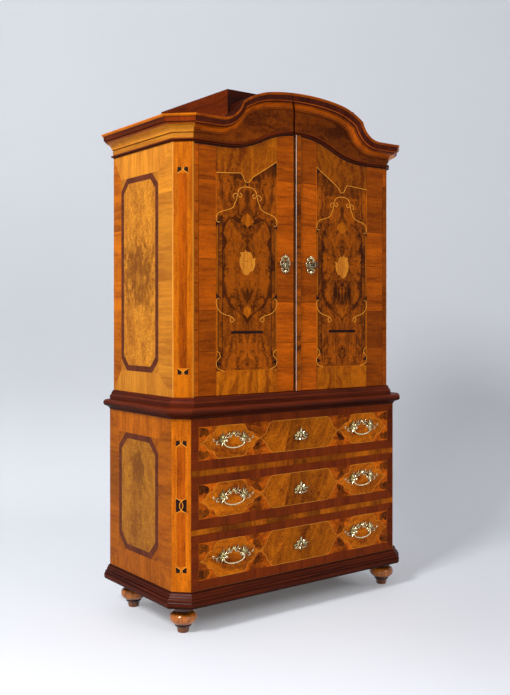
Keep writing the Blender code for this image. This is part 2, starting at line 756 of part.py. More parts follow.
def cornice():
    """Arched front in two halves, and the straight runs round the corners and along the sides."""
    for side, sign in (("left", -1), ("right", 1)):
        lines = front_lines(sign, GLUE_GAP / 2)
        stations = [list(ring) for ring in zip(*lines)]
        front = place(f"cornice_front_{side}", loft(stations, bent_cap=True), "walnut")
        x = sign * (CAB_FRONT_X - PIVOT_IN)
        hole = tube_along_z(x, PIVOT_Y, PIVOT_R + PIVOT_GAP, SOFFIT - CUT_PAST, SOFFIT + PIVOT_LEN)
        combine(front, place(f"pivot_hole_{side}", hole, None, (x, PIVOT_Y, SOFFIT)), "DIFFERENCE")
        section = [(GLUE_GAP, SOFFIT)]
        section += [(out, SOFFIT + rise) for out, rise in ARCHITRAVE_EDGE]
        section += [(out, CROWN_BASE + rise) for out, rise in CROWN_EDGE]
        section += [(GLUE_GAP, CROWN_TOP)]
        columns = [outline(CAB_HALF_W, CAB_CANT, CAB_Y, out)[:3] for out, z in section]
        stations = []
        for i in range(3):
            back = GLUE_GAP if i == 2 else 0.0
            ring = []
            for column, (out, z) in zip(columns, section):
                px, py = column[i]
                ring.append((-sign * (px - back), py + back, z))
            stations.append(ring)
        place(f"cornice_side_{side}", loft(stations), "walnut")


def roof():
    """Raised hood that closes the back of the arch, open underneath."""
    z = TOP_BOARD + TOP_T + GLUE_GAP
    hood = block(-ROOF_HALF_W, ROOF_HALF_W, BOARD_BACK_Y + GLUE_GAP, BACK_Y, z, ROOF_TOP)
    hollow_out(hood, ROOF_T, ROOF_TOP - z - ROOF_T, -1)
    place("roof_hood", hood, "walnut_dark")


def door_panel(name, sign):
    """Arched door, rounded at its pivot edge, with a pivot stub on top and a hole below."""
    axis_x = sign * (CAB_FRONT_X - PIVOT_IN)
    edge_r = PIVOT_IN - DOOR_GAP
    split = DOOR_SPLIT_X + sign * DOOR_GAP
    start = axis_x + sign * sqrt(max(edge_r**2 - PIVOT_BACK**2, 0.0))
    columns = 22
    xs = [start + (split - start) * i / columns for i in range(columns + 1)]
    low = CAB_FLOOR + DOOR_LIFT + GLUE_GAP
    back_y = CAB_Y + DOOR_T
    rim = []
    first = asin(PIVOT_BACK / edge_r)
    for i in range(1, 6):
        turn = first * (1 - i / 5)
        rim.append((axis_x + sign * edge_r * cos(turn), PIVOT_Y - edge_r * sin(turn)))
    rim.append((axis_x + sign * edge_r, back_y))
    mesh = bmesh.new()

    def post(x, y):
        top = door_curve(x)[0] - DOOR_TOP_GAP
        return mesh.verts.new((x, y, low)), mesh.verts.new((x, y, top))

    fronts = [post(x, CAB_Y) for x in xs]
    backs = [post(x, back_y) for x in xs]
    rims = [post(x, y) for x, y in rim]
    for a, b in zip(fronts, fronts[1:]):
        mesh.faces.new((a[0], b[0], b[1], a[1]))
    for a, b in zip(backs, backs[1:]):
        mesh.faces.new((b[0], a[0], a[1], b[1]))
    for i in range(columns):
        mesh.faces.new((fronts[i][1], fronts[i + 1][1], backs[i + 1][1], backs[i][1]))
        mesh.faces.new((fronts[i + 1][0], fronts[i][0], backs[i][0], backs[i + 1][0]))
    mesh.faces.new((fronts[-1][0], backs[-1][0], backs[-1][1], fronts[-1][1]))
    loop = [fronts[0]] + rims + [backs[0]]
    for a, b in zip(loop, loop[1:]):
        mesh.faces.new((b[0], a[0], a[1], b[1]))
    mesh.faces.new([pair[1] for pair in loop])
    mesh.faces.new([pair[0] for pair in reversed(loop)])
    door = place(name, mesh, "walnut", (axis_x, PIVOT_Y, CAB_FLOOR))
    top = SOFFIT - DOOR_TOP_GAP
    stub_top = SOFFIT + PIVOT_LEN - PIVOT_END_GAP
    stub = tube_along_z(axis_x, PIVOT_Y, PIVOT_R, top - PIVOT_LEN / 2, stub_top)
    combine(door, place(f"{name}_stub", stub, None, (axis_x, PIVOT_Y, top)), "UNION")
    hole = tube_along_z(axis_x, PIVOT_Y, PIVOT_R + PIVOT_GAP, low - CUT_PAST, low + PIVOT_LEN)
    combine(door, place(f"{name}_hole", hole, None, (axis_x, PIVOT_Y, low)), "DIFFERENCE")
    return door


def pivot_pin(side, sign):
    """Iron pin that stands on the cabinet floor and carries a door on its collar."""
    x = sign * (CAB_FRONT_X - PIVOT_IN)
    low = CAB_FLOOR + GLUE_GAP
    collar = CAB_FLOOR + DOOR_LIFT
    profile = [(COLLAR_R, low), (COLLAR_R, collar), (PIVOT_R, collar)]
    profile.append((PIVOT_R, collar + PIVOT_LEN - PIVOT_END_GAP))
    pin = place(f"door_pivot_{side}", turned(profile, x, PIVOT_Y), "iron", (x, PIVOT_Y, low))
    smooth(pin, 40)


def doors():
    """Two doors with their key plates, the cover strip, the key and the lock with its bolt."""
    panels = {}
    for side, sign in (("left", -1), ("right", 1)):
        panel = door_panel(f"door_{side}", sign)
        panels[side] = panel
        pivot_pin(side, sign)
        x = sign * LOCK_X
        hole = keyhole_cutter(f"door_keyhole_{side}", x, LOCK_Z, CAB_Y - CUT_PAST, CAB_Y + DOOR_T + CUT_PAST)
        combine(panel, hole, "DIFFERENCE")
        mesh = scalloped_plate(x, LOCK_Z, CAB_Y, DOOR_PLATE_W, door_plate_top, door_plate_bottom, 24)
        plate = place(f"key_plate_door_{side}", mesh, "brass", (x, CAB_Y, LOCK_Z), panel)
        hole = keyhole_cutter(f"door_plate_hole_{side}", x, LOCK_Z, CAB_Y - CUT_PAST, CAB_Y + CUT_PAST, panel)
        combine(plate, hole, "DIFFERENCE")
    cover_strip(panels["right"])
    lock(panels["right"])


def cover_strip(door):
    """Flat strip on the right door's meeting edge."""
    left = DOOR_SPLIT_X + DOOR_GAP
    right = left + STRIP_W
    low = CAB_FLOOR + DOOR_LIFT + GLUE_GAP
    top = min(door_curve(left)[0], door_curve(right)[0]) - DOOR_TOP_GAP
    strip = block(left, right, CAB_Y - GLUE_GAP - STRIP_T, CAB_Y - GLUE_GAP, low, top)
    place("door_strip", strip, "walnut_dark", (left, CAB_Y, low), door)


def lock(door):
    """Lock case on the right door's back, with its sliding bolt and the key in its hole."""
    x = LOCK_X
    front_y = CAB_Y + DOOR_T + GLUE_GAP
    case_left = x - LOCK_W / 2
    half = LOCK_TALL / 2
    back_y = front_y + LOCK_T
    case = block(case_left, x + LOCK_W / 2, front_y, back_y, LOCK_Z - half, LOCK_Z + half)
    body = place("door_lock", case, "iron", (x, front_y, LOCK_Z), door)
    well_end = front_y + BIT_LEN + 2 * KEY_GAP
    room = tube_along_y(x, LOCK_Z, BIT_DROP + 2 * KEY_GAP, front_y - CUT_PAST, well_end, 24)
    combine(body, place("lock_well", room, None, (x, front_y, LOCK_Z), door), "DIFFERENCE")
    bolt_y = front_y + LOCK_T / 2
    bolt_z = LOCK_Z + BOLT_RISE
    start = case_left - BOLT_SHOW
    fit_y = BOLT_T / 2
    fit_z = BOLT_TALL / 2
    slot = block(
        case_left - CUT_PAST,
        start + BOLT_LEN + BOLT_GAP * 2,
        bolt_y - fit_y - BOLT_GAP,
        bolt_y + fit_y + BOLT_GAP,
        bolt_z - fit_z - BOLT_GAP,
        bolt_z + fit_z + BOLT_GAP,
    )
    combine(body, place("bolt_slot", slot, None, (x, bolt_y, bolt_z), door), "DIFFERENCE")
    bar = block(start, start + BOLT_LEN, bolt_y - fit_y, bolt_y + fit_y, bolt_z - fit_z, bolt_z + fit_z)
    place("door_bolt", bar, "iron", (start, bolt_y, bolt_z), door)
    key(door, front_y)


def key(door, lock_y):
    """Key with a round bow, a shank along Y and a bit that hangs down inside the lock."""
    x = LOCK_X
    plate_y = CAB_Y - GLUE_GAP - PLATE_T
    tip_y = lock_y + KEY_GAP + BIT_LEN
    shank = tube_along_y(x, LOCK_Z, SHANK_R, plate_y - KEY_OUT, tip_y, 12)
    item = place("door_key", shank, "iron", (x, CAB_Y, LOCK_Z), door)
    bow = bmesh.new()
    rounds, sides = 20, 8
    rows = []
    for i in range(rounds):
        turn = 2 * pi * i / rounds
        row = []
        for j in range(sides):
            roll = 2 * pi * j / sides
            reach = BOW_R + BOW_WIRE_R * cos(roll)
            row.append(bow.verts.new((BOW_WIRE_R * sin(roll), reach * cos(turn), reach * sin(turn))))
        rows.append(row)
    for i in range(rounds):
        ahead = rows[(i + 1) % rounds]
        for j in range(sides):
            k = (j + 1) % sides
            bow.faces.new((rows[i][j], rows[i][k], ahead[k], ahead[j]))
    centre = Vector((x, plate_y - KEY_OUT - BOW_R + BOW_WIRE_R / 2, LOCK_Z))
    bmesh.ops.transform(bow, matrix=Matrix.Translation(centre), verts=bow.verts)
    combine(item, place("key_bow", bow, None, centre, door), "UNION")
    half = BIT_W / 2
    bit = block(x - half, x + half, lock_y + KEY_GAP, tip_y - KEY_GAP / 2, LOCK_Z - BIT_DROP, LOCK_Z)
    combine(item, place("key_bit", bit, None, (x, lock_y, LOCK_Z), door), "UNION")


def main():
    """Build every piece."""
    clear_scene()
    feet()
    plinth()
    chest_case()
    drawers()
    cabinet_case()
    cornice()
    roof()
    doors()
    bpy.context.view_layer.update()


main()
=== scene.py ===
"""Looks of a cabinet on chest: marquetry, mouldings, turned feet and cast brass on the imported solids.

Units are metres, +Z is up and the doors and drawers face -Y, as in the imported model.
"""

import json
import random
from math import atan2, cos, pi, radians, sin, sqrt

import bmesh
import bpy
from bpy.props import FloatProperty, FloatVectorProperty, IntProperty, PointerProperty
from mathutils import Matrix, Vector


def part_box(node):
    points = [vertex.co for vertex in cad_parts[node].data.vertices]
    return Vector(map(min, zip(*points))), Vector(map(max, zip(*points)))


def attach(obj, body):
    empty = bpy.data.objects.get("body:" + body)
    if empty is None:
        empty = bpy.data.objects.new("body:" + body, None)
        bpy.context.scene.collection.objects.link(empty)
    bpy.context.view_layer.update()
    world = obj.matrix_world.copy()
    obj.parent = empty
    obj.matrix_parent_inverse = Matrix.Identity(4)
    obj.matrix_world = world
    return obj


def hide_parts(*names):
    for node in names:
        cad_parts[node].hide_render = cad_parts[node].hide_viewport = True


bl_info = {
    "name": "Cabinet on chest",
    "version": (1, 0, 0),
    "blender": (4, 5, 0),
    "location": "3D View > Sidebar > Cabinet",
    "description": "Marquetry, mouldings, turned feet and cast brass for a cabinet on chest",
    "category": "Object",
}

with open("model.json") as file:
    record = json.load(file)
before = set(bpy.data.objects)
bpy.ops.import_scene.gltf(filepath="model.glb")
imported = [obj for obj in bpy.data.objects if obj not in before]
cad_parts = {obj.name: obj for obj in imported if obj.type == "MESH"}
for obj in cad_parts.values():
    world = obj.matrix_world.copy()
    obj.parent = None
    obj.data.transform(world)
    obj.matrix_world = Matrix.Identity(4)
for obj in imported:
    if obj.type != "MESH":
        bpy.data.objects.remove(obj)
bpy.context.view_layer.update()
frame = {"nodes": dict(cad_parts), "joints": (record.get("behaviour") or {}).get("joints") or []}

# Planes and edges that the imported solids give
SIDES = (("left", -1), ("right", 1))
DRAWERS = ("lower", "middle", "upper")
CAB_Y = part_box("door_left")[0].y
CHEST_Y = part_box("drawer_front_lower")[0].y
BACK_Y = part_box("cabinet_back")[1].y
CAB_HALF_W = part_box("cabinet_side_right")[1].x
CAB_FRONT_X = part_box("cabinet_post_right")[0].x
CAB_CANT = CAB_HALF_W - CAB_FRONT_X
CAB_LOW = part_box("cabinet_post_left")[0].z
CAB_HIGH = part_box("cornice_side_left")[0].z
CHEST_HALF_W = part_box("chest_side_right")[1].x
CHEST_FRONT_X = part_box("chest_post_right")[0].x
CHEST_CANT = CHEST_HALF_W - CHEST_FRONT_X
CHEST_LOW, CHEST_HIGH = (corner.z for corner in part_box("chest_post_left"))
CHEST_CASE = (CHEST_HALF_W, CHEST_CANT, CHEST_Y)
CABINET_CASE = (CAB_HALF_W, CAB_CANT, CAB_Y)
ROOT_HALF = sqrt(0.5)
NEAR = 0.00001
MM = 0.001

# Grain that runs up a sheet, and how far apart two plates may be cut from their board
UPRIGHT = pi / 2
BOARD_SPAN = 3

# The camera's place and turn, which the floor follows
EYE = Vector((-2.4575, -3.2240, 1.2384))
EYE_TURN = radians(-36.80)

# Metals: name, light and dark tone, roughness, wear, share of metal
DARK_IRON = ("dark_iron", "iron_light", "iron_dark", 0.38, 0.1, 0.2)
CAST_BRASS = ("cast_brass", "brass_light", "brass_dark", 0.12, 0.14, 0.85)
PLATE_BRASS = ("plate_brass", "plate_light", "brass_dark", 0.07, 0.08, 0.8)
WORN_BRASS = ("worn_brass", "bail_light", "brass_dark", 0.10, 0.08, 0.85)


def length(name, text, value, precision=4):
    """One length setting."""
    return FloatProperty(name=name, description=text, default=value, precision=precision, unit="LENGTH")


class CabinetSizes(bpy.types.PropertyGroup):
    """Sizes of the veneers, the stringing and the brass"""

    veneer: length("Veneer", "Thickness of one layer of veneer", 0.00018, 5)
    string_width: length("Stringing", "Width of the light inlaid lines", 0.0024)
    block_length: length("Crossband block", "Length of a crossbanded block", 0.075, 3)
    leaf_relief: length("Leaf relief", "Height of a cast leaf", 0.0042)
    scroll_radius: length("Scroll", "Radius of a cast scroll", 0.0016)
    bail_radius: length("Bail", "Radius of a bail at its arms", 0.0022)
    foot_sides: IntProperty(name="Foot sides", description="Sides of a turned foot", default=64, min=12)


def colour(name, text, value):
    """One colour setting."""
    return FloatVectorProperty(name=name, description=text, default=value, size=3, min=0.0, max=1.0, subtype="COLOR")


class CabinetColours(bpy.types.PropertyGroup):
    """Light and dark tones of the woods, and the metals"""

    gold_light: colour("Gold walnut", "Light tone of the side veneers", (0.66, 0.240, 0.018))
    gold_dark: colour("Gold walnut, dark", "Dark tone of the side veneers", (0.33, 0.092, 0.009))
    orange_light: colour("Orange walnut", "Light tone of the front borders", (0.62, 0.118, 0.002))
    orange_dark: colour("Orange walnut, dark", "Dark tone of the front borders", (0.17, 0.026, 0.001))
    honey_light: colour("Honey walnut", "Light tone of the corners and cartouches", (0.64, 0.158, 0.003))
    honey_dark: colour("Honey walnut, dark", "Dark tone of the corners and cartouches", (0.33, 0.068, 0.002))
    burl_light: colour("Burl", "Light tone of the burl fields", (0.45, 0.092, 0.002))
    burl_dark: colour("Burl, dark", "Dark tone of the burl fields", (0.050, 0.009, 0.001))
    red_light: colour("Red crossband", "Light tone of the drawer borders", (0.25, 0.036, 0.003))
    red_dark: colour("Red crossband, dark", "Dark tone of the drawer borders", (0.085, 0.011, 0.002))
    band_light: colour("Side band", "Light tone of the dark frame on the sides", (0.18, 0.042, 0.016))
    band_dark: colour("Side band, dark", "Dark tone of the dark frame on the sides", (0.08, 0.018, 0.009))
    box_light: colour("Boxwood", "Light tone of the stringing", (0.82, 0.340, 0.036))
    box_dark: colour("Boxwood, dark", "Dark tone of the stringing", (0.56, 0.190, 0.016))
    ebony_light: colour("Ebony", "Light tone of the black inlay", (0.034, 0.014, 0.009))
    ebony_dark: colour("Ebony, dark", "Dark tone of the black inlay", (0.012, 0.005, 0.004))
    mahogany_light: colour("Mahogany", "Light tone of the dark mouldings", (0.12, 0.018, 0.005))
    mahogany_dark: colour("Mahogany, dark", "Dark tone of the dark mouldings", (0.036, 0.006, 0.003))
    pine_light: colour("Pine", "Light tone of the inner boards", (0.42, 0.25, 0.12))
    pine_dark: colour("Pine, dark", "Dark tone of the inner boards", (0.22, 0.11, 0.045))
    # The bead's light and dark tones make a painted highlight down the doors' meeting edge.
    bead_highlight: colour("Bead", "Worn bead on the meeting edge of the doors", (0.74, 0.66, 0.58))
    bead_highlight_dark: colour("Bead, dark", "Dirt on the worn bead", (0.40, 0.34, 0.30))
    foot_light: colour("Foot", "Light tone of the turned feet", (0.50, 0.138, 0.012))
    foot_dark: colour("Foot, dark", "Dark tone of the turned feet", (0.11, 0.024, 0.004))
    brass_light: colour("Brass", "Cast brass of the drawers", (0.98, 0.86, 0.53))
    plate_light: colour("Door plates", "Cast brass of the doors", (1.0, 0.88, 0.54))
    bail_light: colour("Bails", "Handled brass of the bails", (0.90, 0.77, 0.45))
    # Dark tone of the tarnish in the hollows, and of the painted shade between and under the leaves.
    brass_dark: colour("Brass, hollows", "Tarnish in the hollows of the brass", (0.022, 0.018, 0.009))
    iron_light: colour("Iron", "Key, lock and pivots", (0.030, 0.028, 0.027))
    iron_dark: colour("Iron, dark", "Scale on the iron", (0.012, 0.011, 0.011))
    floor: colour("Floor", "Floor and backdrop", (0.69, 0.71, 0.75))


def sizes():
    """Size settings of the open scene."""
    return bpy.context.scene.cabinet_sizes


def tint(name):
    """One colour setting of the open scene, with alpha."""
    return (*getattr(bpy.context.scene.cabinet_colours, name), 1.0)


def home(*values):
    """Node tree of the first socket among some values."""
    return next(value.id_data for value in values if isinstance(value, bpy.types.NodeSocket))


def link(source, target):
    """Join an output socket to an input socket."""
    target.id_data.links.new(source, target)


def feed(target, value):
    """Give an input socket a source, or a value of its own."""
    if isinstance(value, bpy.types.NodeSocket):
        link(value, target)
    else:
        target.default_value = value


def add(tree, kind, **settings):
    """Add one node. A setting is a property of the node, or the value or the source of an input."""
    made = tree.nodes.new(kind)
    for key, value in settings.items():
        if hasattr(made, key):
            setattr(made, key, value)
        else:
            feed(made.inputs[key.replace("_", " ")], value)
    return made


def math(operation, first, second=None, clamp=False):
    """Math node on sockets or numbers; gives its output."""
    made = add(home(first, second), "ShaderNodeMath", operation=operation, use_clamp=clamp)
    feed(made.inputs[0], first)
    if second is not None:
        feed(made.inputs[1], second)
    return made.outputs[0]


def plus(first, second, clamp=False):
    """Sum of sockets or numbers."""
    return math("ADD", first, second, clamp)


def minus(first, second):
    """Difference of sockets or numbers."""
    return math("SUBTRACT", first, second)


def times(first, second):
    """Product of sockets or numbers."""
    return math("MULTIPLY", first, second)


def vector_math(operation, first, second, part=0):
    """Vector math node on a socket and a socket or a tuple; gives one of its outputs."""
    made = add(home(first), "ShaderNodeVectorMath", operation=operation)
    feed(made.inputs[0], first)
    feed(made.inputs[1], second)
    return made.outputs[part]


def blend_colour(share, first, second, mode="MIX"):
    """Colour mix of sockets or colours; gives its colour output."""
    made = add(home(share, first, second), "ShaderNodeMix", data_type="RGBA", blend_type=mode)
    for slot, value in ((0, share), (6, first), (7, second)):
        feed(made.inputs[slot], value)
    return made.outputs[2]


def ramp(value, low, high):
    """Value mapped from low..high to 0..1, smooth and clamped."""
    made = add(home(value), "ShaderNodeMapRange", interpolation_type="SMOOTHSTEP", Value=value)
    feed(made.inputs["From Min"], low)
    feed(made.inputs["From Max"], high)
    return made.outputs["Result"]


def noise(vector, scale, detail, rough=0.55, part="Fac"):
    """Noise texture; gives one of its outputs."""
    made = add(home(vector), "ShaderNodeTexNoise", Vector=vector, Scale=scale, Detail=detail, Roughness=rough)
    return made.outputs[part]


def uneven(shader, height, strength):
    """Give a shader a fine bump."""
    bump = add(home(height), "ShaderNodeBump", Strength=strength, Distance=0.0004, Height=height)
    link(bump.outputs[0], shader.inputs["Normal"])


def new_group(name, kind, inputs, outputs):
    """Node group with named sockets of some types; gives the tree, its inputs and its results."""
    tree = bpy.data.node_groups.new(name, kind)
    for way, sockets in (("INPUT", inputs), ("OUTPUT", outputs)):
        for label, sort in sockets.items():
            tree.interface.new_socket(label, in_out=way, socket_type=f"NodeSocket{sort}")
    return tree, add(tree, "NodeGroupInput").outputs, add(tree, "NodeGroupOutput").inputs


def new_material(name):
    """Fresh material; gives it, its tree and its shader."""
    material = bpy.data.materials.new(name)
    material.use_nodes = True
    return material, material.node_tree, material.node_tree.nodes["Principled BSDF"]


def grain_group():
    """Shader group that draws figured wood on a vector whose first axis runs along the grain, in metres."""
    found = bpy.data.node_groups.get("figured_wood")
    if found:
        return found
    inputs = {"Vector": "Vector", "Light": "Color", "Dark": "Color"}
    inputs |= dict.fromkeys(("Lines", "Stretch", "Figure", "Burl", "Contrast", "Tone", "Shade"), "Float")
    outputs = {"Color": "Color", "Roughness": "Float", "Height": "Float"}
    tree, given, result = new_group("figured_wood", "ShaderNodeTree", inputs, outputs)

    # Two swirls push the grain aside, as knots and burls do.
    moved = given["Vector"]
    for scale, strength in ((6.5, 0.26), (34.0, 0.06)):
        push = vector_math("SUBTRACT", noise(moved, scale, 2.0, part="Color"), (0.5, 0.5, 0.5))
        swirl = add(tree, "ShaderNodeVectorMath", operation="SCALE", Scale=times(given["Figure"], strength))
        link(push, swirl.inputs[0])
        moved = vector_math("ADD", moved, swirl.outputs[0])

    # Lines run along the first axis, with broad bands under them; burl adds clouds and small eyes.
    pull = add(tree, "ShaderNodeCombineXYZ", X=math("DIVIDE", given["Lines"], given["Stretch"]), Y=given["Lines"],
               Z=given["Lines"])
    drawn = vector_math("MULTIPLY", moved, pull.outputs[0])
    lines = noise(drawn, 1.0, 6.0, 0.66)
    bands = noise(drawn, 0.17, 3.0)
    clouds = noise(moved, 24.0, 6.0, 0.66)
    eyes = add(tree, "ShaderNodeTexVoronoi", Scale=52.0, Vector=moved)
    spots = minus(1.0, ramp(eyes.outputs["Distance"], 0.02, 0.30))
    spots = times(spots, ramp(noise(given["Vector"], 9.0, 2.0), 0.45, 0.62))
    crack = math("ABSOLUTE", minus(noise(moved, 13.0, 5.0, 0.6), 0.5))
    veins = minus(1.0, ramp(crack, 0.0, 0.035))
    mottle = minus(noise(vector_math("MULTIPLY", moved, (1.7, 0.8, 1.0)), 105.0, 4.0, 0.6), 0.5)
    burl = plus(times(minus(clouds, 0.5), 1.8), plus(times(spots, 0.25), times(veins, 0.35)))
    spread = plus(times(minus(bands, 0.5), 2.1), times(minus(lines, 0.5), 2.3))
    spread = plus(spread, times(burl, given["Burl"]))
    share = plus(times(spread, given["Contrast"]), 0.42, clamp=True)
    flecks = times(times(mottle, given["Burl"]), 2.8)
    share = plus(times(share, 0.88), plus(flecks, 0.05), clamp=True)
    timber = blend_colour(share, given["Light"], given["Dark"])
    glint = times(ramp(times(mottle, -1.0), 0.02, 0.16), given["Burl"])
    timber = blend_colour(glint, timber, blend_colour(1.0, timber, (1.15, 1.45, 1.3, 1.0), "MULTIPLY"))

    # Pores are short fine streaks, darker and less glossy.
    pores = ramp(noise(vector_math("MULTIPLY", moved, (60.0, 900.0, 900.0)), 1.0, 2.0), 0.56, 0.72)
    timber = blend_colour(times(pores, 0.30), timber, given["Dark"])
    level = plus(times(given["Tone"], 1.1), 0.45)
    grey = add(tree, "ShaderNodeCombineColor", Red=level, Green=level, Blue=level)
    timber = blend_colour(1.0, timber, grey.outputs[0], "MULTIPLY")

    # Shade is smoke: dark clouds that grow together as it rises.
    smoke = minus(plus(times(clouds, 1.3), times(lines, 1.1)), 1.2)
    smoke = ramp(plus(smoke, given["Shade"]), 0.30, 0.90)
    deep = blend_colour(1.0, given["Dark"], (0.75, 0.75, 0.8, 1.0), "MULTIPLY")
    deep = blend_colour(0.5, deep, blend_colour(1.0, timber, (0.38, 0.36, 0.40, 1.0), "MULTIPLY"))
    link(blend_colour(times(smoke, 0.9), timber, deep), result["Color"])
    link(plus(times(pores, 0.14), times(lines, 0.16)), result["Roughness"])
    link(minus(times(lines, 0.4), pores), result["Height"])
    return tree


def wood(name, light, dark, lines=60.0, stretch=14.0, figure=0.2, burl=0.0, contrast=1.0, along=None, gloss=0.07,
         toned=False, tone=0.5, rough=0.26, coat=0.14, boards=0.0):
    """Polished wood. Veneers read their grain map; along turns the grain of a solid to X, Y or Z instead.

    Boards is the width of the boards that an upright panel is made of, each with its own tone."""
    found = bpy.data.materials.get(name)
    if found:
        return found
    material, tree, shader = new_material(name)
    figured = add(tree, "ShaderNodeGroup", node_tree=grain_group(), Light=tint(light), Dark=tint(dark), Lines=lines,
                  Stretch=stretch, Figure=figure, Burl=burl, Contrast=contrast, Tone=tone)
    if along:
        place = add(tree, "ShaderNodeTexCoord").outputs["Object"]
        turn = {"X": (0, 0, 0), "Y": (0, 0, -pi / 2), "Z": (0, pi / 2, 0)}[along]
        grain = add(tree, "ShaderNodeMapping", Vector=place, Rotation=turn)
    else:
        grain = add(tree, "ShaderNodeUVMap", uv_map="Grain")
    link(grain.outputs[0], figured.inputs["Vector"])
    for key in ("Tone", "Shade") if not along else ("Tone",) if toned else ():
        held = add(tree, "ShaderNodeAttribute", attribute_name=key.lower())
        link(held.outputs["Fac"], figured.inputs[key])
    timber = figured.outputs["Color"]
    if boards:
        count = math("DIVIDE", add(tree, "ShaderNodeSeparateXYZ", Vector=place).outputs["X"], boards)
        own = add(tree, "ShaderNodeTexWhiteNoise", noise_dimensions="1D", W=math("FLOOR", count))
        link(plus(times(own.outputs["Value"], 0.40), 0.22), figured.inputs["Tone"])
        aside = math("ABSOLUTE", minus(math("FRACT", count), 0.5))
        joint = tuple(0.15 * part for part in tint("pine_dark")[:3]) + (1.0,)
        timber = blend_colour(ramp(aside, 0.486, 0.494), timber, joint)
    link(timber, shader.inputs["Base Color"])
    link(plus(figured.outputs["Roughness"], rough if gloss else 0.5), shader.inputs["Roughness"])
    uneven(shader, figured.outputs["Height"], 0.10 if gloss else 0.35)
    for key, value in (("Coat Weight", gloss), ("Coat Roughness", coat), ("Specular IOR Level", 0.02)):
        shader.inputs[key].default_value = value
    return material


def metal(name, bright, deep, rough, worn, solid):
    """Cast metal: tarnish lies in patches, leaf edges, roots and undersides are darker with tarnish and painted shade,
    and the surface is slightly uneven.
    """
    found = bpy.data.materials.get(name)
    if found:
        return found
    material, tree, shader = new_material(name)
    place = add(tree, "ShaderNodeTexCoord").outputs["Object"]
    patches = noise(place, 130.0, 4.0)
    # hollow darkens leaf edges, roots and undersides: tarnish, and painted shade.
    hollow = add(tree, "ShaderNodeAttribute", attribute_name="hollow").outputs["Fac"]
    share = math("MAXIMUM", ramp(patches, 0.62 - worn, 0.72), hollow)
    link(blend_colour(share, tint(bright), tint(deep)), shader.inputs["Base Color"])
    link(plus(times(patches, 0.22), rough), shader.inputs["Roughness"])
    uneven(shader, noise(place, 700.0, 3.0), 0.22)
    shader.inputs["Metallic"].default_value = solid
    return material


def woods():
    """Every veneer by its short name."""
    return {
        "gold": wood("gold_walnut", "gold_light", "gold_dark", 70, 14, 0.10, 0.12, 0.9),
        "gold_burl": wood("gold_burl", "gold_light", "gold_dark", 70, 5, 0.45, 0.60),
        "honey": wood("honey_walnut", "honey_light", "honey_dark", 70, 12, 0.14, 0.30, 1.3),
        "orange": wood("orange_walnut", "orange_light", "orange_dark", 75, 10, 0.10, 0.20, 0.85),
        "flame": wood("flame_walnut", "honey_light", "orange_dark", 45, 7, 0.40, 0.30, 1.1),
        "frieze": wood("frieze_walnut", "orange_light", "orange_dark", 45, 7, 0.40, 0.40, 1.1),
        "cartouche": wood("cartouche_walnut", "honey_light", "orange_dark", 45, 7, 0.40, 0.45, 0.9),
        "burl": wood("walnut_burl", "burl_light", "burl_dark", 55, 3, 0.60, 0.60, 1.25),
        "ground": wood("ground_walnut", "burl_light", "burl_dark", 60, 6, 0.35, 0.45, 1.05),
        "red": wood("red_crossband", "red_light", "red_dark", 90, 12, 0.06, 0.0, 0.75),
        "band": wood("dark_band", "band_light", "band_dark", 90, 12, 0.06, gloss=0.02),
        "box": wood("boxwood", "box_light", "box_dark", 120, 14, 0.05, 0.0, 0.6),
        "ebony": wood("ebony", "ebony_light", "ebony_dark", 120, 14, 0.05, gloss=0.02, rough=0.5),
        "mahogany": wood("mahogany_veneer", "mahogany_light", "mahogany_dark", 70, 14, 0.08, gloss=0.05, rough=0.38),
    }


def finish_piece(name, data, body, replaced=()):
    """Make an object of a finished mesh, at the origin, on its body."""
    item = bpy.data.objects.new(name, data)
    bpy.context.scene.collection.objects.link(item)
    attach(item, body)
    if replaced:
        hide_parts(*replaced)


def mesh_data(mesh, name, materials=(), angle=None):
    """Turn a bmesh into mesh data with materials, smooth up to an angle in degrees."""
    data = bpy.data.meshes.new(name)
    mesh.to_mesh(data)
    mesh.free()
    for material in materials:
        data.materials.append(material)
    if angle:
        data.shade_smooth()
        data.set_sharp_from_angle(angle=radians(angle))
    return data


def join(parts):
    """Put mesh datas together in one bmesh, and use them up."""
    joined = bmesh.new()
    for part in parts:
        joined.from_mesh(part)
        bpy.data.meshes.remove(part)
    return joined


def walls(mesh, low, high):
    """Faces between two closed rings of as many corners."""
    ends = [(i, (i + 1) % len(low)) for i in range(len(low))]
    return [mesh.faces.new((low[i], low[j], high[j], high[i])) for i, j in ends]


def outwards(mesh):
    """Turn every face of a bmesh outwards."""
    bmesh.ops.recalc_face_normals(mesh, faces=mesh.faces)


def through(rows, closed=False):
    """Solid through rings of points, with two end faces or closed in itself."""
    mesh = bmesh.new()
    rings = [[mesh.verts.new(point) for point in row] for row in rows]
    for ring, ahead in zip(rings, rings[1:] + rings[:1] if closed else rings[1:]):
        walls(mesh, ring, ahead)
    if not closed:
        mesh.faces.new(rings[0])
        mesh.faces.new(rings[-1])
    outwards(mesh)
    return mesh


def joint_place(body):
    """Place of the joint that a body moves on."""
    return next(joint["pos_m"] for joint in frame["joints"] if joint["child"] == body)


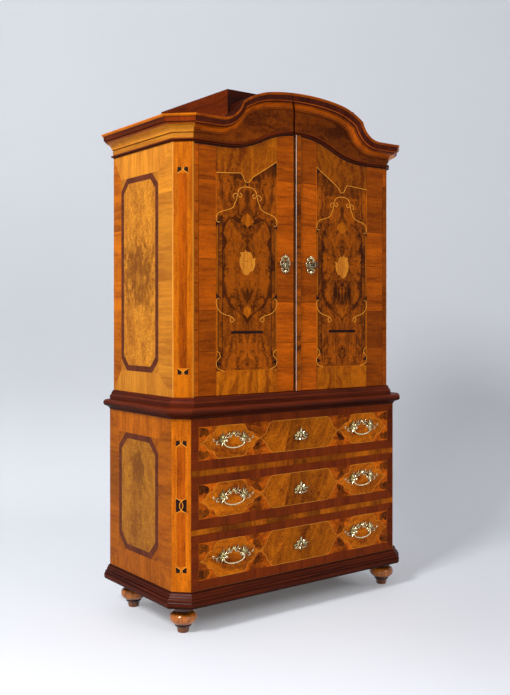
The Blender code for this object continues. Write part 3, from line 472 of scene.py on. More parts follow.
class Sheet:
    """Marquetry on one upright face. Each cell is a thin closed plate with its own grain, tone and shading."""

    def __init__(self, origin, across, seed):
        self.origin = Vector(origin)
        self.across = Vector(across)
        self.up = Vector((0, 0, 1))
        self.out = self.across.cross(self.up)
        self.draw = random.Random(seed)
        self.mesh = bmesh.new()
        self.grain = self.mesh.loops.layers.uv.new("Grain")
        self.tone = self.mesh.faces.layers.float.new("tone")
        self.shade = self.mesh.verts.layers.float.new("shade")
        self.kinds = []

    def spot(self, point, lift):
        """Place of a point of the face, some layers out."""
        return self.origin + self.across * point[0] + self.up * point[1] + self.out * (lift * sizes().veneer)

    def begin(self, kind):
        """Note a plate's wood; gives the start of its grain."""
        if kind not in self.kinds:
            self.kinds.append(kind)
        return self.draw.uniform(0, BOARD_SPAN), self.draw.uniform(0, BOARD_SPAN)

    def corner(self, flat, point, lift, dark=0.0):
        """Set one corner of a plate, and note where it lies on the face."""
        made = self.mesh.verts.new(self.spot(point, lift))
        made[self.shade] = dark
        flat[made] = point
        return made

    def cell(self, points, kind, lift, turn, tone, mirror=None):
        """Lay one plate. turn is the grain's direction, mirror a line to match the figure across."""
        area = sum(a[0] * b[1] - b[0] * a[1] for a, b in zip(points, points[1:] + points[:1]))
        points = points if area > 0 else points[::-1]
        start = self.begin(kind)
        flat = {}
        rim = [self.corner(flat, point, lift) for point in points]
        base = [self.corner(flat, point, 0.0) for point in points]
        faces = [self.mesh.faces.new(base[::-1]), self.mesh.faces.new(rim)]
        faces += walls(self.mesh, base, rim)
        self.mark(faces, flat, kind, tone, turn, mirror, start)

    def net(self, columns, rows, spot, kind, lift, turn, tone, shade, mirror=None):
        """Lay one plate as a fine net, so that its shade can change. spot and shade map shares of the plate."""
        start = self.begin(kind)
        flat = {}
        shares = [[(i / columns, j / rows) for i in range(columns + 1)] for j in range(rows + 1)]
        top = [[self.corner(flat, spot(*pair), lift, shade(*pair)) for pair in row] for row in shares]
        edge = top[0] + [row[-1] for row in top[1:]] + top[-1][-2::-1] + [row[0] for row in top[-2:0:-1]]
        base = [self.corner(flat, flat[vert], 0.0) for vert in edge]
        faces = [self.mesh.faces.new(base[::-1])] + walls(self.mesh, base, edge)
        for low, high in zip(top, top[1:]):
            for i in range(columns):
                faces.append(self.mesh.faces.new((low[i], low[i + 1], high[i + 1], high[i])))
        self.mark(faces, flat, kind, tone, turn, mirror, start)

    def mark(self, faces, flat, kind, tone, turn, mirror, start):
        """Set wood, tone and grain of a plate's faces."""
        for face in faces:
            face.material_index = self.kinds.index(kind)
            face[self.tone] = tone
            for loop in face.loops:
                a, b = flat[loop.vert]
                if mirror is not None:
                    a = abs(a - mirror)
                u = a * cos(turn) + b * sin(turn) + start[0]
                v = b * cos(turn) - a * sin(turn) + start[1]
                loop[self.grain].uv = (u, v)

    def block(self, a0, a1, b0, b1, kind, lift, turn, tone):
        """Lay one rectangle."""
        self.cell([(a0, b0), (a1, b0), (a1, b1), (a0, b1)], kind, lift, turn, tone)

    def stack(self, a0, a1, breaks, kind, lift, seam, darkening=0.0):
        """Lay a column of rectangles between heights, with open seams."""
        for low, high in zip(breaks, breaks[1:]):
            tone = self.draw.uniform(0.24, 0.68) - darkening
            self.block(a0 + seam, a1 - seam, low + seam, high - seam, kind, lift, 0.0, tone)

    def piece(self, name, body, slot="walnut"):
        """Finish the sheet as one piece."""
        outwards(self.mesh)
        table = woods()
        finish_piece(name, mesh_data(self.mesh, name, [table[kind] for kind in self.kinds]), body)


def flowing(points, steps=6, closed=False):
    """Smooth line through points."""
    count = len(points)
    line = []
    for i in range(count if closed else count - 1):
        if closed:
            a, b, c, d = (Vector(points[(i + k) % count]) for k in (-1, 0, 1, 2))
        else:
            a, b = Vector(points[max(i - 1, 0)]), Vector(points[i])
            c, d = Vector(points[i + 1]), Vector(points[min(i + 2, count - 1)])
        for k in range(steps):
            t = k / steps
            bend = (a - b * 2.5 + c * 2 - d * 0.5) * t**2
            sway = (b * 1.5 - a / 2 - c * 1.5 + d / 2) * t**3
            line.append(tuple(b + (c - a) * (t / 2) + bend + sway))
    if not closed:
        line.append(tuple(points[-1]))
    return line


def between(table, place):
    """Value at a place of a table of (place, value), by straight lines."""
    for (x0, y0), (x1, y1) in zip(table, table[1:]):
        if place <= x1:
            return y0 + (y1 - y0) * max(0.0, place - x0) / max(x1 - x0, NEAR)
    return table[-1][1]


def geometry_tree(name, inputs, build):
    """Geometry tree of a name, built once. build makes the geometry, which is realised and given its material."""
    found = bpy.data.node_groups.get(name)
    if found:
        return found
    inputs = {"Geometry": "Geometry", **inputs, "Material": "Material"}
    tree, given, result = new_group(name, "GeometryNodeTree", inputs, {"Geometry": "Geometry"})
    real = add(tree, "GeometryNodeRealizeInstances", Geometry=build(tree, given))
    dressed = add(tree, "GeometryNodeSetMaterial", Geometry=real.outputs[0], Material=given["Material"])
    link(dressed.outputs[0], result[0])
    return tree


def ribbon(tree, given):
    """Flat ribbon along lines on a face."""
    lines = add(tree, "GeometryNodeMeshToCurve", Mesh=given["Geometry"])
    face = add(tree, "GeometryNodeSetCurveNormal", mode="FREE", Curve=lines.outputs[0], Normal=given["Out"])
    section = add(tree, "GeometryNodeCurvePrimitiveQuadrilateral", Width=given["Height"], Height=given["Width"])
    swept = add(tree, "GeometryNodeCurveToMesh", Curve=face.outputs[0], Profile_Curve=section.outputs[0],
                Fill_Caps=True)
    return add(tree, "GeometryNodeSetShadeSmooth", Geometry=swept.outputs[0], Shade_Smooth=False).outputs[0]


def round_bar(tree, given):
    """Round bar along lines."""
    lines = add(tree, "GeometryNodeMeshToCurve", Mesh=given["Geometry"])
    section = add(tree, "GeometryNodeCurvePrimitiveCircle", Resolution=10, Radius=given["Radius"])
    return add(tree, "GeometryNodeCurveToMesh", Curve=lines.outputs[0], Profile_Curve=section.outputs[0],
               Fill_Caps=True).outputs[0]


def leaf_spray(tree, given):
    """Leaf on every point, turned and sized by the point's own values."""
    held = {}
    for name in ("turn", "long", "wide"):
        node = add(tree, "GeometryNodeInputNamedAttribute", data_type="FLOAT", Name=name)
        held[name] = node.outputs["Attribute"]
    leaf = add(tree, "GeometryNodeObjectInfo", Object=given["Leaf"])
    turn = add(tree, "ShaderNodeCombineXYZ", Y=held["turn"])
    size = add(tree, "ShaderNodeCombineXYZ", X=held["wide"], Y=given["Relief"], Z=held["long"])
    return add(tree, "GeometryNodeInstanceOnPoints", Points=given["Geometry"], Instance=leaf.outputs["Geometry"],
               Rotation=turn.outputs[0], Scale=size.outputs[0]).outputs[0]


def block_row(tree, given):
    """Row of crossbanded blocks with a tone of their own."""
    row = add(tree, "GeometryNodeMeshLine", mode="OFFSET", Count=given["Count"], Start_Location=given["Start"],
              Offset=given["Step"])
    block = add(tree, "GeometryNodeMeshCube", Size=given["Size"])
    laid = add(tree, "GeometryNodeInstanceOnPoints", Points=row.outputs[0], Instance=block.outputs["Mesh"])
    chance = add(tree, "FunctionNodeRandomValue", data_type="FLOAT", Seed=given["Seed"])
    link(given["Darkest"], chance.inputs[2])
    link(given["Lightest"], chance.inputs[3])
    return add(tree, "GeometryNodeStoreNamedAttribute", data_type="FLOAT", domain="INSTANCE", Name="tone",
               Geometry=laid.outputs[0], Value=chance.outputs["Value"]).outputs[0]


def run_tree(name, data, tree, values):
    """Mesh that a geometry tree makes of some data."""
    item = bpy.data.objects.new(name, data)
    bpy.context.scene.collection.objects.link(item)
    change = item.modifiers.new(name, "NODES")
    change.node_group = tree
    for socket in tree.interface.items_tree:
        if socket.in_out == "INPUT" and socket.name in values:
            change[socket.identifier] = values[socket.name]
    bpy.context.view_layer.update()
    graph = bpy.context.evaluated_depsgraph_get()
    made = bpy.data.meshes.new_from_object(item.evaluated_get(graph), preserve_all_data_layers=True, depsgraph=graph)
    item.modifiers.remove(change)
    bpy.data.objects.remove(item)
    bpy.data.meshes.remove(data)
    return made


def line_mesh(lines):
    """Mesh of edges along lines of points; a line whose ends meet is closed."""
    data = bpy.data.meshes.new("lines")
    points, edges = [], []
    for line in lines:
        closed = (Vector(line[0]) - Vector(line[-1])).length < NEAR
        line = line[:-1] if closed else line
        first = len(points)
        points += [tuple(point) for point in line]
        edges += [(first + i, first + i + 1) for i in range(len(line) - 1)]
        if closed:
            edges.append((len(points) - 1, first))
    data.from_pydata(points, edges, [])
    return data


def map_along(data, across, level):
    """Give a ribbon mesh a grain map from its own coordinates, and one tone."""
    layer = data.uv_layers.new(name="Grain")
    for loop in data.loops:
        place = data.vertices[loop.vertex_index].co
        layer.data[loop.index].uv = (place.dot(across), place.z)
    tone = data.attributes.new("tone", "FLOAT", "POINT")
    tone.data.foreach_set("value", [level] * len(data.vertices))


def stringing(name, sheet, lines, lift, body, kind="box", width=None, tone=0.8):
    """Inlaid lines on a sheet's face, as one piece."""
    world = [[sheet.spot(point, lift / 2) for point in line] for line in lines]
    tree = geometry_tree("stringing", {"Width": "Float", "Height": "Float", "Out": "Vector"}, ribbon)
    values = {"Width": width or sizes().string_width, "Height": lift * sizes().veneer, "Out": sheet.out,
              "Material": woods()[kind]}
    data = run_tree(name, line_mesh(world), tree, values)
    map_along(data, sheet.across, tone)
    finish_piece(name, data, body)


def bar(name, lines, radius, material):
    """Mesh of round bars along lines."""
    tree = geometry_tree("scrolls", {"Radius": "Float"}, round_bar)
    return run_tree(name, line_mesh(lines), tree, {"Radius": radius, "Material": material})


def crossband(name, start, step, count, size, body, material, seed, tones):
    """Row of crossbanded blocks, as one piece."""
    inputs = {"Count": "Int", "Start": "Vector", "Step": "Vector", "Size": "Vector", "Darkest": "Float",
              "Lightest": "Float", "Seed": "Int"}
    values = {"Count": count, "Start": start, "Step": step, "Size": size, "Darkest": tones[0], "Lightest": tones[1],
              "Seed": seed, "Material": material}
    data = run_tree(name, bpy.data.meshes.new("row"), geometry_tree("crossband", inputs, block_row), values)
    finish_piece(name, data, body)


def cad_copy(node, angle):
    """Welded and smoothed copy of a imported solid's mesh."""
    mesh = bmesh.new()
    mesh.from_mesh(frame["nodes"][node].data)
    bmesh.ops.remove_doubles(mesh, verts=mesh.verts, dist=NEAR)
    return mesh_data(mesh, node, (), angle)


def out_of_case(place, case):
    """How far a point stands out from a case with canted corners."""
    half_w, cant, front_y = case
    side = abs(place.x) - half_w
    corner = (abs(place.x) - half_w + cant + front_y - place.y) * ROOT_HALF
    return max(side, corner, front_y - place.y)


def dress_moulding(data, case, choose):
    """Give a moulding its woods and a grain along it. choose names a face's wood, whether it lies across, its tone."""
    table = woods()
    kinds = []
    tones = []
    layer = data.uv_layers.new(name="Grain")
    for face in data.polygons:
        stands = [out_of_case(data.vertices[k].co, case) for k in face.vertices]
        kind, cross, level = choose(data, face, min(stands), max(stands))
        if kind not in kinds:
            kinds.append(kind)
            data.materials.append(table[kind])
        face.material_index = kinds.index(kind)
        tones.append(level)
        side = abs(face.normal.x) > abs(face.normal.y) + 0.2
        for loop in face.loop_indices:
            place = data.vertices[data.loops[loop].vertex_index].co
            run = place.y if side else place.x
            rise = place.z - out_of_case(place, case)
            layer.data[loop].uv = (rise, run) if cross else (run, rise)
    data.attributes.new("tone", "FLOAT", "FACE").data.foreach_set("value", tones)


def lathe(profile, steps, place):
    """Solid turned about Z from (radius, height), then moved by a matrix."""
    mesh = bmesh.new()
    chain = [mesh.verts.new((radius, 0, z)) for radius, z in profile]
    edges = [mesh.edges.new(pair) for pair in zip(chain, chain[1:])]
    bmesh.ops.spin(mesh, geom=chain + edges, cent=(0, 0, 0), axis=(0, 0, 1), angle=2 * pi, steps=steps)
    bmesh.ops.remove_doubles(mesh, verts=mesh.verts, dist=NEAR)
    outwards(mesh)
    bmesh.ops.transform(mesh, matrix=place, verts=mesh.verts)
    return mesh


def standing_out(place):
    """Matrix that lays an upright axis along -Y, out of the front, from a place."""
    return Matrix.Translation(place) @ Matrix.Rotation(pi / 2, 4, "X")


def seen_rays(tree):
    """One for rays from the camera, and for those that polish, metal or glass sends on."""
    path = add(tree, "ShaderNodeLightPath").outputs
    sent = plus(path["Is Glossy Ray"], path["Is Transmission Ray"])
    return plus(path["Is Camera Ray"], sent, clamp=True)


class CABINET_OT_stage(bpy.types.Operator):
    """Set up the camera, the lamps, the floor and the backdrop"""

    bl_idname = "cabinet.stage"
    bl_label = "Stage"

    def execute(self, context):
        scene = context.scene
        scene.view_settings.view_transform = "Standard"
        eye = bpy.data.cameras.new("eye")
        eye.sensor_width = 36.0
        eye.lens = 46.85
        eye.shift_y = -0.0364
        scene.camera = self.put(scene, "eye", eye, EYE, (radians(89.74), 0.0, EYE_TURN))

        world = bpy.data.worlds.new("room")
        scene.world = world
        world.use_nodes = True
        back = world.node_tree.nodes["Background"]
        back.inputs["Color"].default_value = (0.95, 0.97, 1.0, 1.0)
        link(plus(times(seen_rays(world.node_tree), 0.26), 0.42), back.inputs["Strength"])
        self.lamp(scene, "key", (-4.8, -1.7, 4.7), 1.5, 300.0)
        self.lamp(scene, "fill", (0.6, -5.2, 2.4), 1.6, 40.0)
        self.floor(scene)
        return {"FINISHED"}

    def put(self, scene, name, data, place, turn):
        """Put a camera or a lamp in its place."""
        item = bpy.data.objects.new(name, data)
        scene.collection.objects.link(item)
        item.location = place
        item.rotation_euler = turn
        return item

    def lamp(self, scene, name, place, size, power):
        """One soft square lamp, turned to the middle of the cabinet."""
        light = bpy.data.lights.new(name, "AREA")
        light.size = size
        light.energy = power
        aim = Vector((0.0, 0.0, 1.1)) - Vector(place)
        self.put(scene, name, light, place, aim.to_track_quat("-Z", "Y").to_euler())

    def floor(self, scene):
        """Sweep of floor and backdrop, square to the camera."""
        wide, start, bend, tall = 14.0, 5.4, 1.2, 9.0
        section = [(-wide, 0.0), (start, 0.0)]
        section += [(start + bend * sin(k * pi / 24), bend - bend * cos(k * pi / 24)) for k in range(1, 13)]
        section.append((start + bend, tall))
        turn = Matrix.Rotation(EYE_TURN, 3, "Z")
        mesh = bmesh.new()
        rows = []
        for far, rise in section:
            middle = Vector((EYE.x, EYE.y, rise))
            rows.append([mesh.verts.new(middle + turn @ Vector((side, far, 0))) for side in (-wide, wide)])
        for low, high in zip(rows, rows[1:]):
            mesh.faces.new((low[0], low[1], high[1], high[0]))
        material, tree, shader = new_material("floor")
        data = mesh_data(mesh, "floor", [material])
        data.shade_smooth()
        item = bpy.data.objects.new("floor", data)
        scene.collection.objects.link(item)
        place = add(tree, "ShaderNodeTexCoord").outputs["Object"]
        pale = tint("floor")
        dim = tuple(0.95 * part for part in pale[:3]) + (1.0,)
        link(blend_colour(noise(place, 0.9, 3.0), pale, dim), shader.inputs["Base Color"])
        for key, value in (("Roughness", 0.7), ("Specular IOR Level", 0.2), ("Emission Color", pale)):
            shader.inputs[key].default_value = value

        # The camera and what mirrors the floor see it a little brighter than the lamps make it. This added light is
        # painted: painted shade lowers it towards the right, a painted pool of light raises it towards the front, and a
        # painted shadow takes it away over and round the cabinet's footprint.
        axes = add(tree, "ShaderNodeSeparateXYZ", Vector=place).outputs
        near = minus(1.0, ramp(axes["Z"], 0.02, 0.9))
        right = vector_math("DOT_PRODUCT", place, (0.80, -0.60, 0.0), "Value")
        ahead = vector_math("DOT_PRODUCT", place, (0.60, 0.80, 0.0), "Value")
        front = times(minus(1.0, ramp(ahead, -1.3, -0.3)), 0.10)
        bright = plus(plus(times(ramp(right, 0.1, 1.1), -0.16), front), 0.27)
        # Painted shadow: no added light over the cabinet's footprint and just round it.
        beside = math("MAXIMUM", minus(math("ABSOLUTE", axes["X"]), 0.50), minus(math("ABSOLUTE", axes["Y"]), 0.20))
        bright = times(bright, ramp(beside, -0.12, 0.04))
        link(times(plus(times(near, bright), 0.06), seen_rays(tree)), shader.inputs["Emission Strength"])

        # From behind, the backdrop is clear, so that the back of the cabinet can be looked at.
        behind = times(add(tree, "ShaderNodeNewGeometry").outputs["Backfacing"],
                       add(tree, "ShaderNodeLightPath").outputs["Is Camera Ray"])
        cleared = add(tree, "ShaderNodeMixShader")
        clear = add(tree, "ShaderNodeBsdfTransparent")
        for slot, source in enumerate((behind, shader.outputs[0], clear.outputs[0])):
            link(source, cleared.inputs[slot])
        link(cleared.outputs[0], tree.nodes["Material Output"].inputs["Surface"])


class CABINET_OT_carcass(bpy.types.Operator):
    """Give the plain boards, rails, shelves and ironwork their finishes"""

    bl_idname = "cabinet.carcass"
    bl_label = "Carcass"

    def execute(self, context):
        pine = ("pine_light", "pine_dark", 40, 18, 0.10)
        upright = wood("walnut_upright", "gold_light", "gold_dark", 55, 16, 0.10, along="Z")
        level = wood("walnut_level", "orange_light", "orange_dark", 60, 15, 0.10, along="X")
        strip = wood("strip_dark", "ebony_light", "ebony_dark", 60, 12, 0.1, along="X")
        shelf = wood("pine_level", *pine, along="X", gloss=0.0)
        back = wood("pine_upright", *pine, along="Z", gloss=0.0, boards=0.168)
        box = wood("pine_deep", *pine, along="Y", gloss=0.0)
        for material, nodes in (
            (shelf, "chest_bottom shelf_lower shelf_upper cabinet_top"),
            (back, "chest_back cabinet_back"),
            (box, "drawer_box_lower drawer_box_middle drawer_box_upper"),
            (level, "drawer_rail_lower drawer_rail_upper drawer_front_lower drawer_front_middle drawer_front_upper"),
            (upright, "chest_post_left chest_post_right chest_side_left chest_side_right door_left door_right"),
            (upright, "cabinet_post_left cabinet_post_right cabinet_side_left cabinet_side_right"),
            (strip, "door_strip"),
            (metal(*DARK_IRON), "door_lock door_bolt door_pivot_left door_pivot_right"),
        ):
            for node in nodes.split():
                data = frame["nodes"][node].data
                data.materials.clear()
                data.materials.append(material)
        hood = cad_copy("roof_hood", 20)
        # Faces that look to the front get a near-black board: bare dusty wood, and painted shade of the hood's front
        # behind the arch.
        for name, light, dark, burl, along, tone in (
            ("stained_board", "red_light", "red_dark", 0.3, "Y", 0.30),
            ("dusty_shaded_board", "mahogany_dark", "ebony_dark", 0.5, "X", 0.9),
        ):
            hood.materials.append(wood(name, light, dark, 40, 16, 0.15, burl, along=along, gloss=0.0, tone=tone))
        for face in hood.polygons:
            face.material_index = 1 if face.normal.y < -0.25 else 0
        finish_piece("dressed_roof_hood", hood, "case", ("roof_hood",))
        return {"FINISHED"}


class CABINET_OT_feet(bpy.types.Operator):
    """Turn the bun feet"""

    bl_idname = "cabinet.feet"
    bl_label = "Feet"

    def execute(self, context):
        polish_and_painted_light = [
            wood(name, light, dark, 60, 10, figure, burl, along="Z", gloss=1.0, tone=tone, coat=coat)
            for name, light, dark, figure, burl, tone, coat in (
                ("foot_walnut", "foot_light", "foot_dark", 0.15, 0.3, 0.95, 0.035),
                ("foot_ring_and_shade", "foot_dark", "mahogany_dark", 0.1, 0.2, 0.4, 0.09),
                ("foot_painted_shade", "foot_light", "foot_dark", 0.15, 0.3, 0.14, 0.035),
            )
        ]
        for end in ("front", "rear"):
            for side, _ in SIDES:
                self.foot(f"foot_{end}_{side}", polish_and_painted_light)
        return {"FINISHED"}

    def foot(self, node, polish_and_painted_light):
        """One foot: a small pad, a ring, the bun, a neck ring and its dowel."""
        low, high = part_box(node)
        radius = (high.x - low.x) / 2
        tall = 0.109
        pad = [(0.38, 0.0), (0.41, 0.012), (0.44, 0.08), (0.48, 0.17), (0.53, 0.225)]
        ring = [(0.53, 0.225), (0.60, 0.235), (0.625, 0.255), (0.60, 0.277), (0.55, 0.288)]
        bun = [(0.55, 0.288), (0.68, 0.312), (0.87, 0.385), (0.98, 0.465), (1.02, 0.545), (0.985, 0.63),
               (0.87, 0.71), (0.72, 0.762), (0.64, 0.780)]
        neck = [(0.64, 0.780), (0.69, 0.805), (0.70, 0.86), (0.69, 0.935), (0.64, 0.97)]
        profile = [(0.0, 0.0)]
        for part in (pad, ring, bun, neck):
            profile += flowing(part, 5)
        profile += [(0.5, 0.985), (0.5, high.z / tall), (0.0, high.z / tall)]
        clean = []
        for point in [(share * radius, rise * tall) for share, rise in profile]:
            if not clean or (Vector(point) - Vector(clean[-1])).length > NEAR:
                clean.append(point)
        place = Matrix.Translation(((low.x + high.x) / 2, (low.y + high.y) / 2, 0))
        data = mesh_data(lathe(clean, sizes().foot_sides, place), node, polish_and_painted_light, 50)
        # Painted shade: the neck under the plinth and the groove above the pad take the dark ring wood, partly darker
        # wood and partly painted shade; the top and bottom of the bun take a painted shade of the foot's wood.
        for face in data.polygons:
            rise = face.center.z / tall
            if rise > 0.775 or 0.20 < rise < 0.30:
                face.material_index = 1
            elif rise < 0.40 or rise > 0.715:
                face.material_index = 2
        finish_piece(f"turned_{node}", data, "case", (node,))


class CABINET_OT_mouldings(bpy.types.Operator):
    """Dress the plinth, the waist and the foot of the cabinet"""

    bl_idname = "cabinet.mouldings"
    bl_label = "Mouldings"

    def execute(self, context):
        # Painted light and shade by facing: above the plinth's foot, faces that look up are lighter, those that look
        # down darker, and narrow upright fillets are dark lines of painted shade; along the plinth's lowest three
        # centimetres, faces that look up or down are painted dark, and narrow fillets light as painted highlights.
        def dark(data, face, least, most):
            rises = [data.vertices[k].co.z for k in face.vertices]
            slope = face.normal.z
            level = 0.12 if slope < -0.3 else 0.85 if slope > 0.4 else 0.55
            thin = abs(slope) < 0.3 and max(rises) - min(rises) < 0.0045
            if face.center.z < CHEST_LOW + 0.03:
                level = 0.0 if slope < -0.3 else 0.05 if slope > 0.4 else 0.9 if thin else 0.52
            elif thin:
                level = 0.10
            return "mahogany", False, level + 0.1 * sin(face.center.x * 5.1 + face.center.y * 7.3)

        cases = (("plinth_moulding", CHEST_CASE), ("chest_top", CHEST_CASE), ("cabinet_bottom", CABINET_CASE))
        for node, case in cases:
            data = cad_copy(node, 16)
            dress_moulding(data, case, dark)
            finish_piece(f"dressed_{node}", data, "case", (node,))
        return {"FINISHED"}


class CABINET_OT_cornice(bpy.types.Operator):
    """Dress the arched cornice: fillet, corona, ogee, frieze and astragal"""

    bl_idname = "cabinet.cornice"
    bl_label = "Cornice"

    def execute(self, context):
        arch = self.soffit()

        # How far the members stand out at least: fillet, corona, cove, ogee and hollow
        fillet, corona, cove, ogee, hollow = 0.0525, 0.0425, 0.0355, 0.0175, 0.0093

        def choose(data, face, least, most):
            centre = face.center
            rises = [data.vertices[k].co.z - arch(data.vertices[k].co.x) for k in face.vertices]
            rise = sum(rises) / len(rises)
            beside = abs(face.normal.x) > 0.9 * sqrt(face.normal.x**2 + face.normal.y**2)
            front = centre.y < CAB_Y - 0.002 and abs(centre.x) < CAB_FRONT_X + 0.01
            drift = 0.10 * sin(centre.x * 9.0 + centre.y * 11.0)
            drift -= 0.22 * max(0.0, min(1.0, centre.x / 0.25))
            slope = face.normal.z
            # Painted shade: the faces inside the open joint in the middle are black.
            if abs(face.normal.x) > 0.25 and abs(centre.x) < 0.08:
                return "mahogany", False, 0.0
            if most < 0.002:
                return "mahogany", False, 0.4
            if most > fillet and slope > 0.35 and (least < fillet or slope > 0.6):
                return ("mahogany", False, 0.0) if abs(centre.x) < CAB_FRONT_X else ("red", False, 0.35)
            # Astragal: upright faces mid red, faces that look down black as painted shade, faces that look up lighter
            # as painted light.
            if max(rises) < 0.0145 and most < 0.0130:
                if abs(slope) < 0.35:
                    return "red", False, 0.45
                return "mahogany", False, 0.0 if slope < 0.0 else 0.6
            if least > fillet:
                return ("orange", False, 0.50 + drift) if front else ("honey", False, 0.66 + drift)
            # On the front, a painted highlight along the narrow fillet under the corona.
            if least > corona and most < corona + 0.002:
                return ("orange", False, 0.85) if front else ("mahogany", False, 0.5)
            if least > corona:
                return ("mahogany", True, 0.50) if front else ("red", True, 0.14 if beside else 0.62)
            if least > cove:
                return ("mahogany", False, 0.5) if front else ("orange", False, 0.55)
            # Ogee: its lower faces carry a painted highlight and its upper faces painted shade, on the front and the
            # sides.
            if least > ogee:
                level = 0.88 if most < 0.0300 else 0.36
                return ("orange", False, level + drift) if front else ("gold", False, 0.78 if level > 0.5 else 0.5)
            # Below the ogee, on the front, faces standing further out are lighter and the others darker, as painted
            # light and shade.
            if least > hollow and rise > 0.012:
                level = 0.60 if most > 0.0130 else 0.16
                return ("orange", False, level + drift) if front else ("gold", False, 0.70 + drift)
            if rise < 0.0075:
                return "mahogany", False, 0.65
            if most < 0.0055:
                return ("frieze", False, 0.06 + 0.7 * drift) if front else ("gold", False, 0.50)
            return "mahogany", False, 0.6

        for side, sign in SIDES:
            for part in ("front", "side"):
                node = f"cornice_{part}_{side}"
                data = cad_copy(node, 20)
                if part == "front":
                    self.open_joint(data, sign)
                dress_moulding(data, CABINET_CASE, choose)
                finish_piece(f"dressed_{node}", data, "case", (node,))
        return {"FINISHED"}

    def open_joint(self, data, sign):
        """Open the joint in the middle a little, so that it shows as a dark line."""
        for vert in data.vertices:
            stand = out_of_case(vert.co, CABINET_CASE)
            if abs(vert.co.x) < 0.075 and stand > 0.002:
                vert.co.x += sign * (0.0042 if stand < 0.041 else 0.0016)

    def soffit(self):
        """Height of the astragal at a place across the front, read from the solids."""
        found = []
        for side, _ in SIDES:
            for vert in frame["nodes"][f"cornice_front_{side}"].data.vertices:
                if abs(CAB_Y - vert.co.y - 0.0125) < NEAR:
                    found.append((vert.co.x, vert.co.z))
        found.sort()
        flat = CAB_HIGH + 0.008
        return lambda x: between(found, x) if found[0][0] < x < found[-1][0] else flat


def octagon(a0, a1, b0, b1, cut):
    """Rectangle with cut corners, from its lower left corner on."""
    return [(a0 + cut, b0), (a1 - cut, b0), (a1, b0 + cut), (a1, b1 - cut),
            (a1 - cut, b1), (a0 + cut, b1), (a0, b1 - cut), (a0, b0 + cut)]


class CABINET_OT_sides(bpy.types.Operator):
    """Lay the side panels: border, dark eight-sided frame and burl field"""

    bl_idname = "cabinet.sides"
    bl_label = "Sides"

    def execute(self, context):
        upper = {"case": CABINET_CASE, "ends": (CAB_LOW, CAB_HIGH), "dark": (0.069, 0.378, 1.0156, 1.83),
                 "cut": 0.050, "border": "gold", "blocks": 7, "tone": 0.56, "smoky": 0.86, "heart": 0.5, "broad": 1.7}
        lower = {"case": CHEST_CASE, "ends": (CHEST_LOW, CHEST_HIGH), "dark": (0.083, 0.408, 0.264, 0.757),
                 "cut": 0.058, "border": "honey", "blocks": 5, "tone": 0.25, "smoky": 1.0, "heart": 0.74,
                 "broad": 0.55}
        for case, layout in (("cabinet", upper), ("chest", lower)):
            for side, sign in SIDES:
                self.panel(f"{case}_side_marquetry_{side}", sign, **layout)
        return {"FINISHED"}

    def panel(self, name, sign, case, ends, dark, cut, border, blocks, tone, smoky, heart, broad):
        """One side, laid out from the back edge to the corner.

        dark is the box of the dark frame, and cut the size of its cut corners. The burl's smoke is as strong as smoky,
        with its middle at the height heart and its width broad."""
        half_w, cant, front_y = case
        front_y += cant
        deep = BACK_Y - front_y
        low, high = ends
        back, front, floor, top = dark
        if sign < 0:
            sheet = Sheet((-half_w, BACK_Y, 0), (0, -1, 0), 11)
        else:
            sheet = Sheet((half_w, front_y, 0), (0, 1, 0), 11)

        def turn(points):
            return points if sign < 0 else [(deep - a, b) for a, b in points]

        band = 0.024
        bevel = cut - band * 0.41
        inside = octagon(back + band, front - band, floor + band, top - band, bevel)
        outside = octagon(back, front, floor, top, cut)
        for end, edge, level in ((high, top, 0.18), (low, floor, 0.02)):
            sheet.cell(turn([(0, end), (back, edge), (front, edge), (deep, end)]), border, 1, UPRIGHT, tone + level)
        breaks = [floor + (top - floor) * k / blocks for k in range(blocks + 1)]
        draw = random.Random(5)
        inner = [breaks[0]] + [z + draw.uniform(-0.03, 0.03) for z in breaks[1:-1]] + [breaks[-1]]
        outer = [low] + inner[1:-1] + [high]
        for rim, edge, kind, level in ((0, back, "honey", -0.10), (deep, front, border, 0.02)):
            for k in range(blocks):
                points = [(rim, outer[k]), (edge, inner[k]), (edge, inner[k + 1]), (rim, outer[k + 1])]
                sheet.cell(turn(points), kind, 1, 0.0, tone + level + draw.uniform(-0.12, 0.12))
        for a, b in ((back, floor), (front, floor), (front, top), (back, top)):
            aside = cut if a == back else -cut
            above = cut if b == floor else -cut
            sheet.cell(turn([(a, b), (a + aside, b), (a, b + above)]), border, 1, pi / 4, tone - 0.1)
        for k in range(8):
            j = (k + 1) % 8
            edge = atan2(outside[j][1] - outside[k][1], outside[j][0] - outside[k][0])
            sheet.cell(turn([outside[k], outside[j], inside[j], inside[k]]), "band", 1, edge + pi / 2, 0.42)
        left, right, low, high = back + band, front - band, floor + band, top - band

        def field(u, v):
            b = low + (high - low) * v
            nip = max(0.0, bevel - (b - low), bevel - (high - b))
            return turn([(left + nip + (right - left - 2 * nip) * u, b)])[0]

        def smoke(u, v):
            aside = 2 * u - 1 + 0.9 * (v - heart)
            return smoky * max(0.0, 1.0 - ((v - heart) / 0.27) ** 2) * max(0.0, 1.0 - (aside / broad) ** 2)

        sheet.net(12, 30, field, "gold_burl", 1, UPRIGHT, tone, smoke)
        sheet.piece(name, "case")


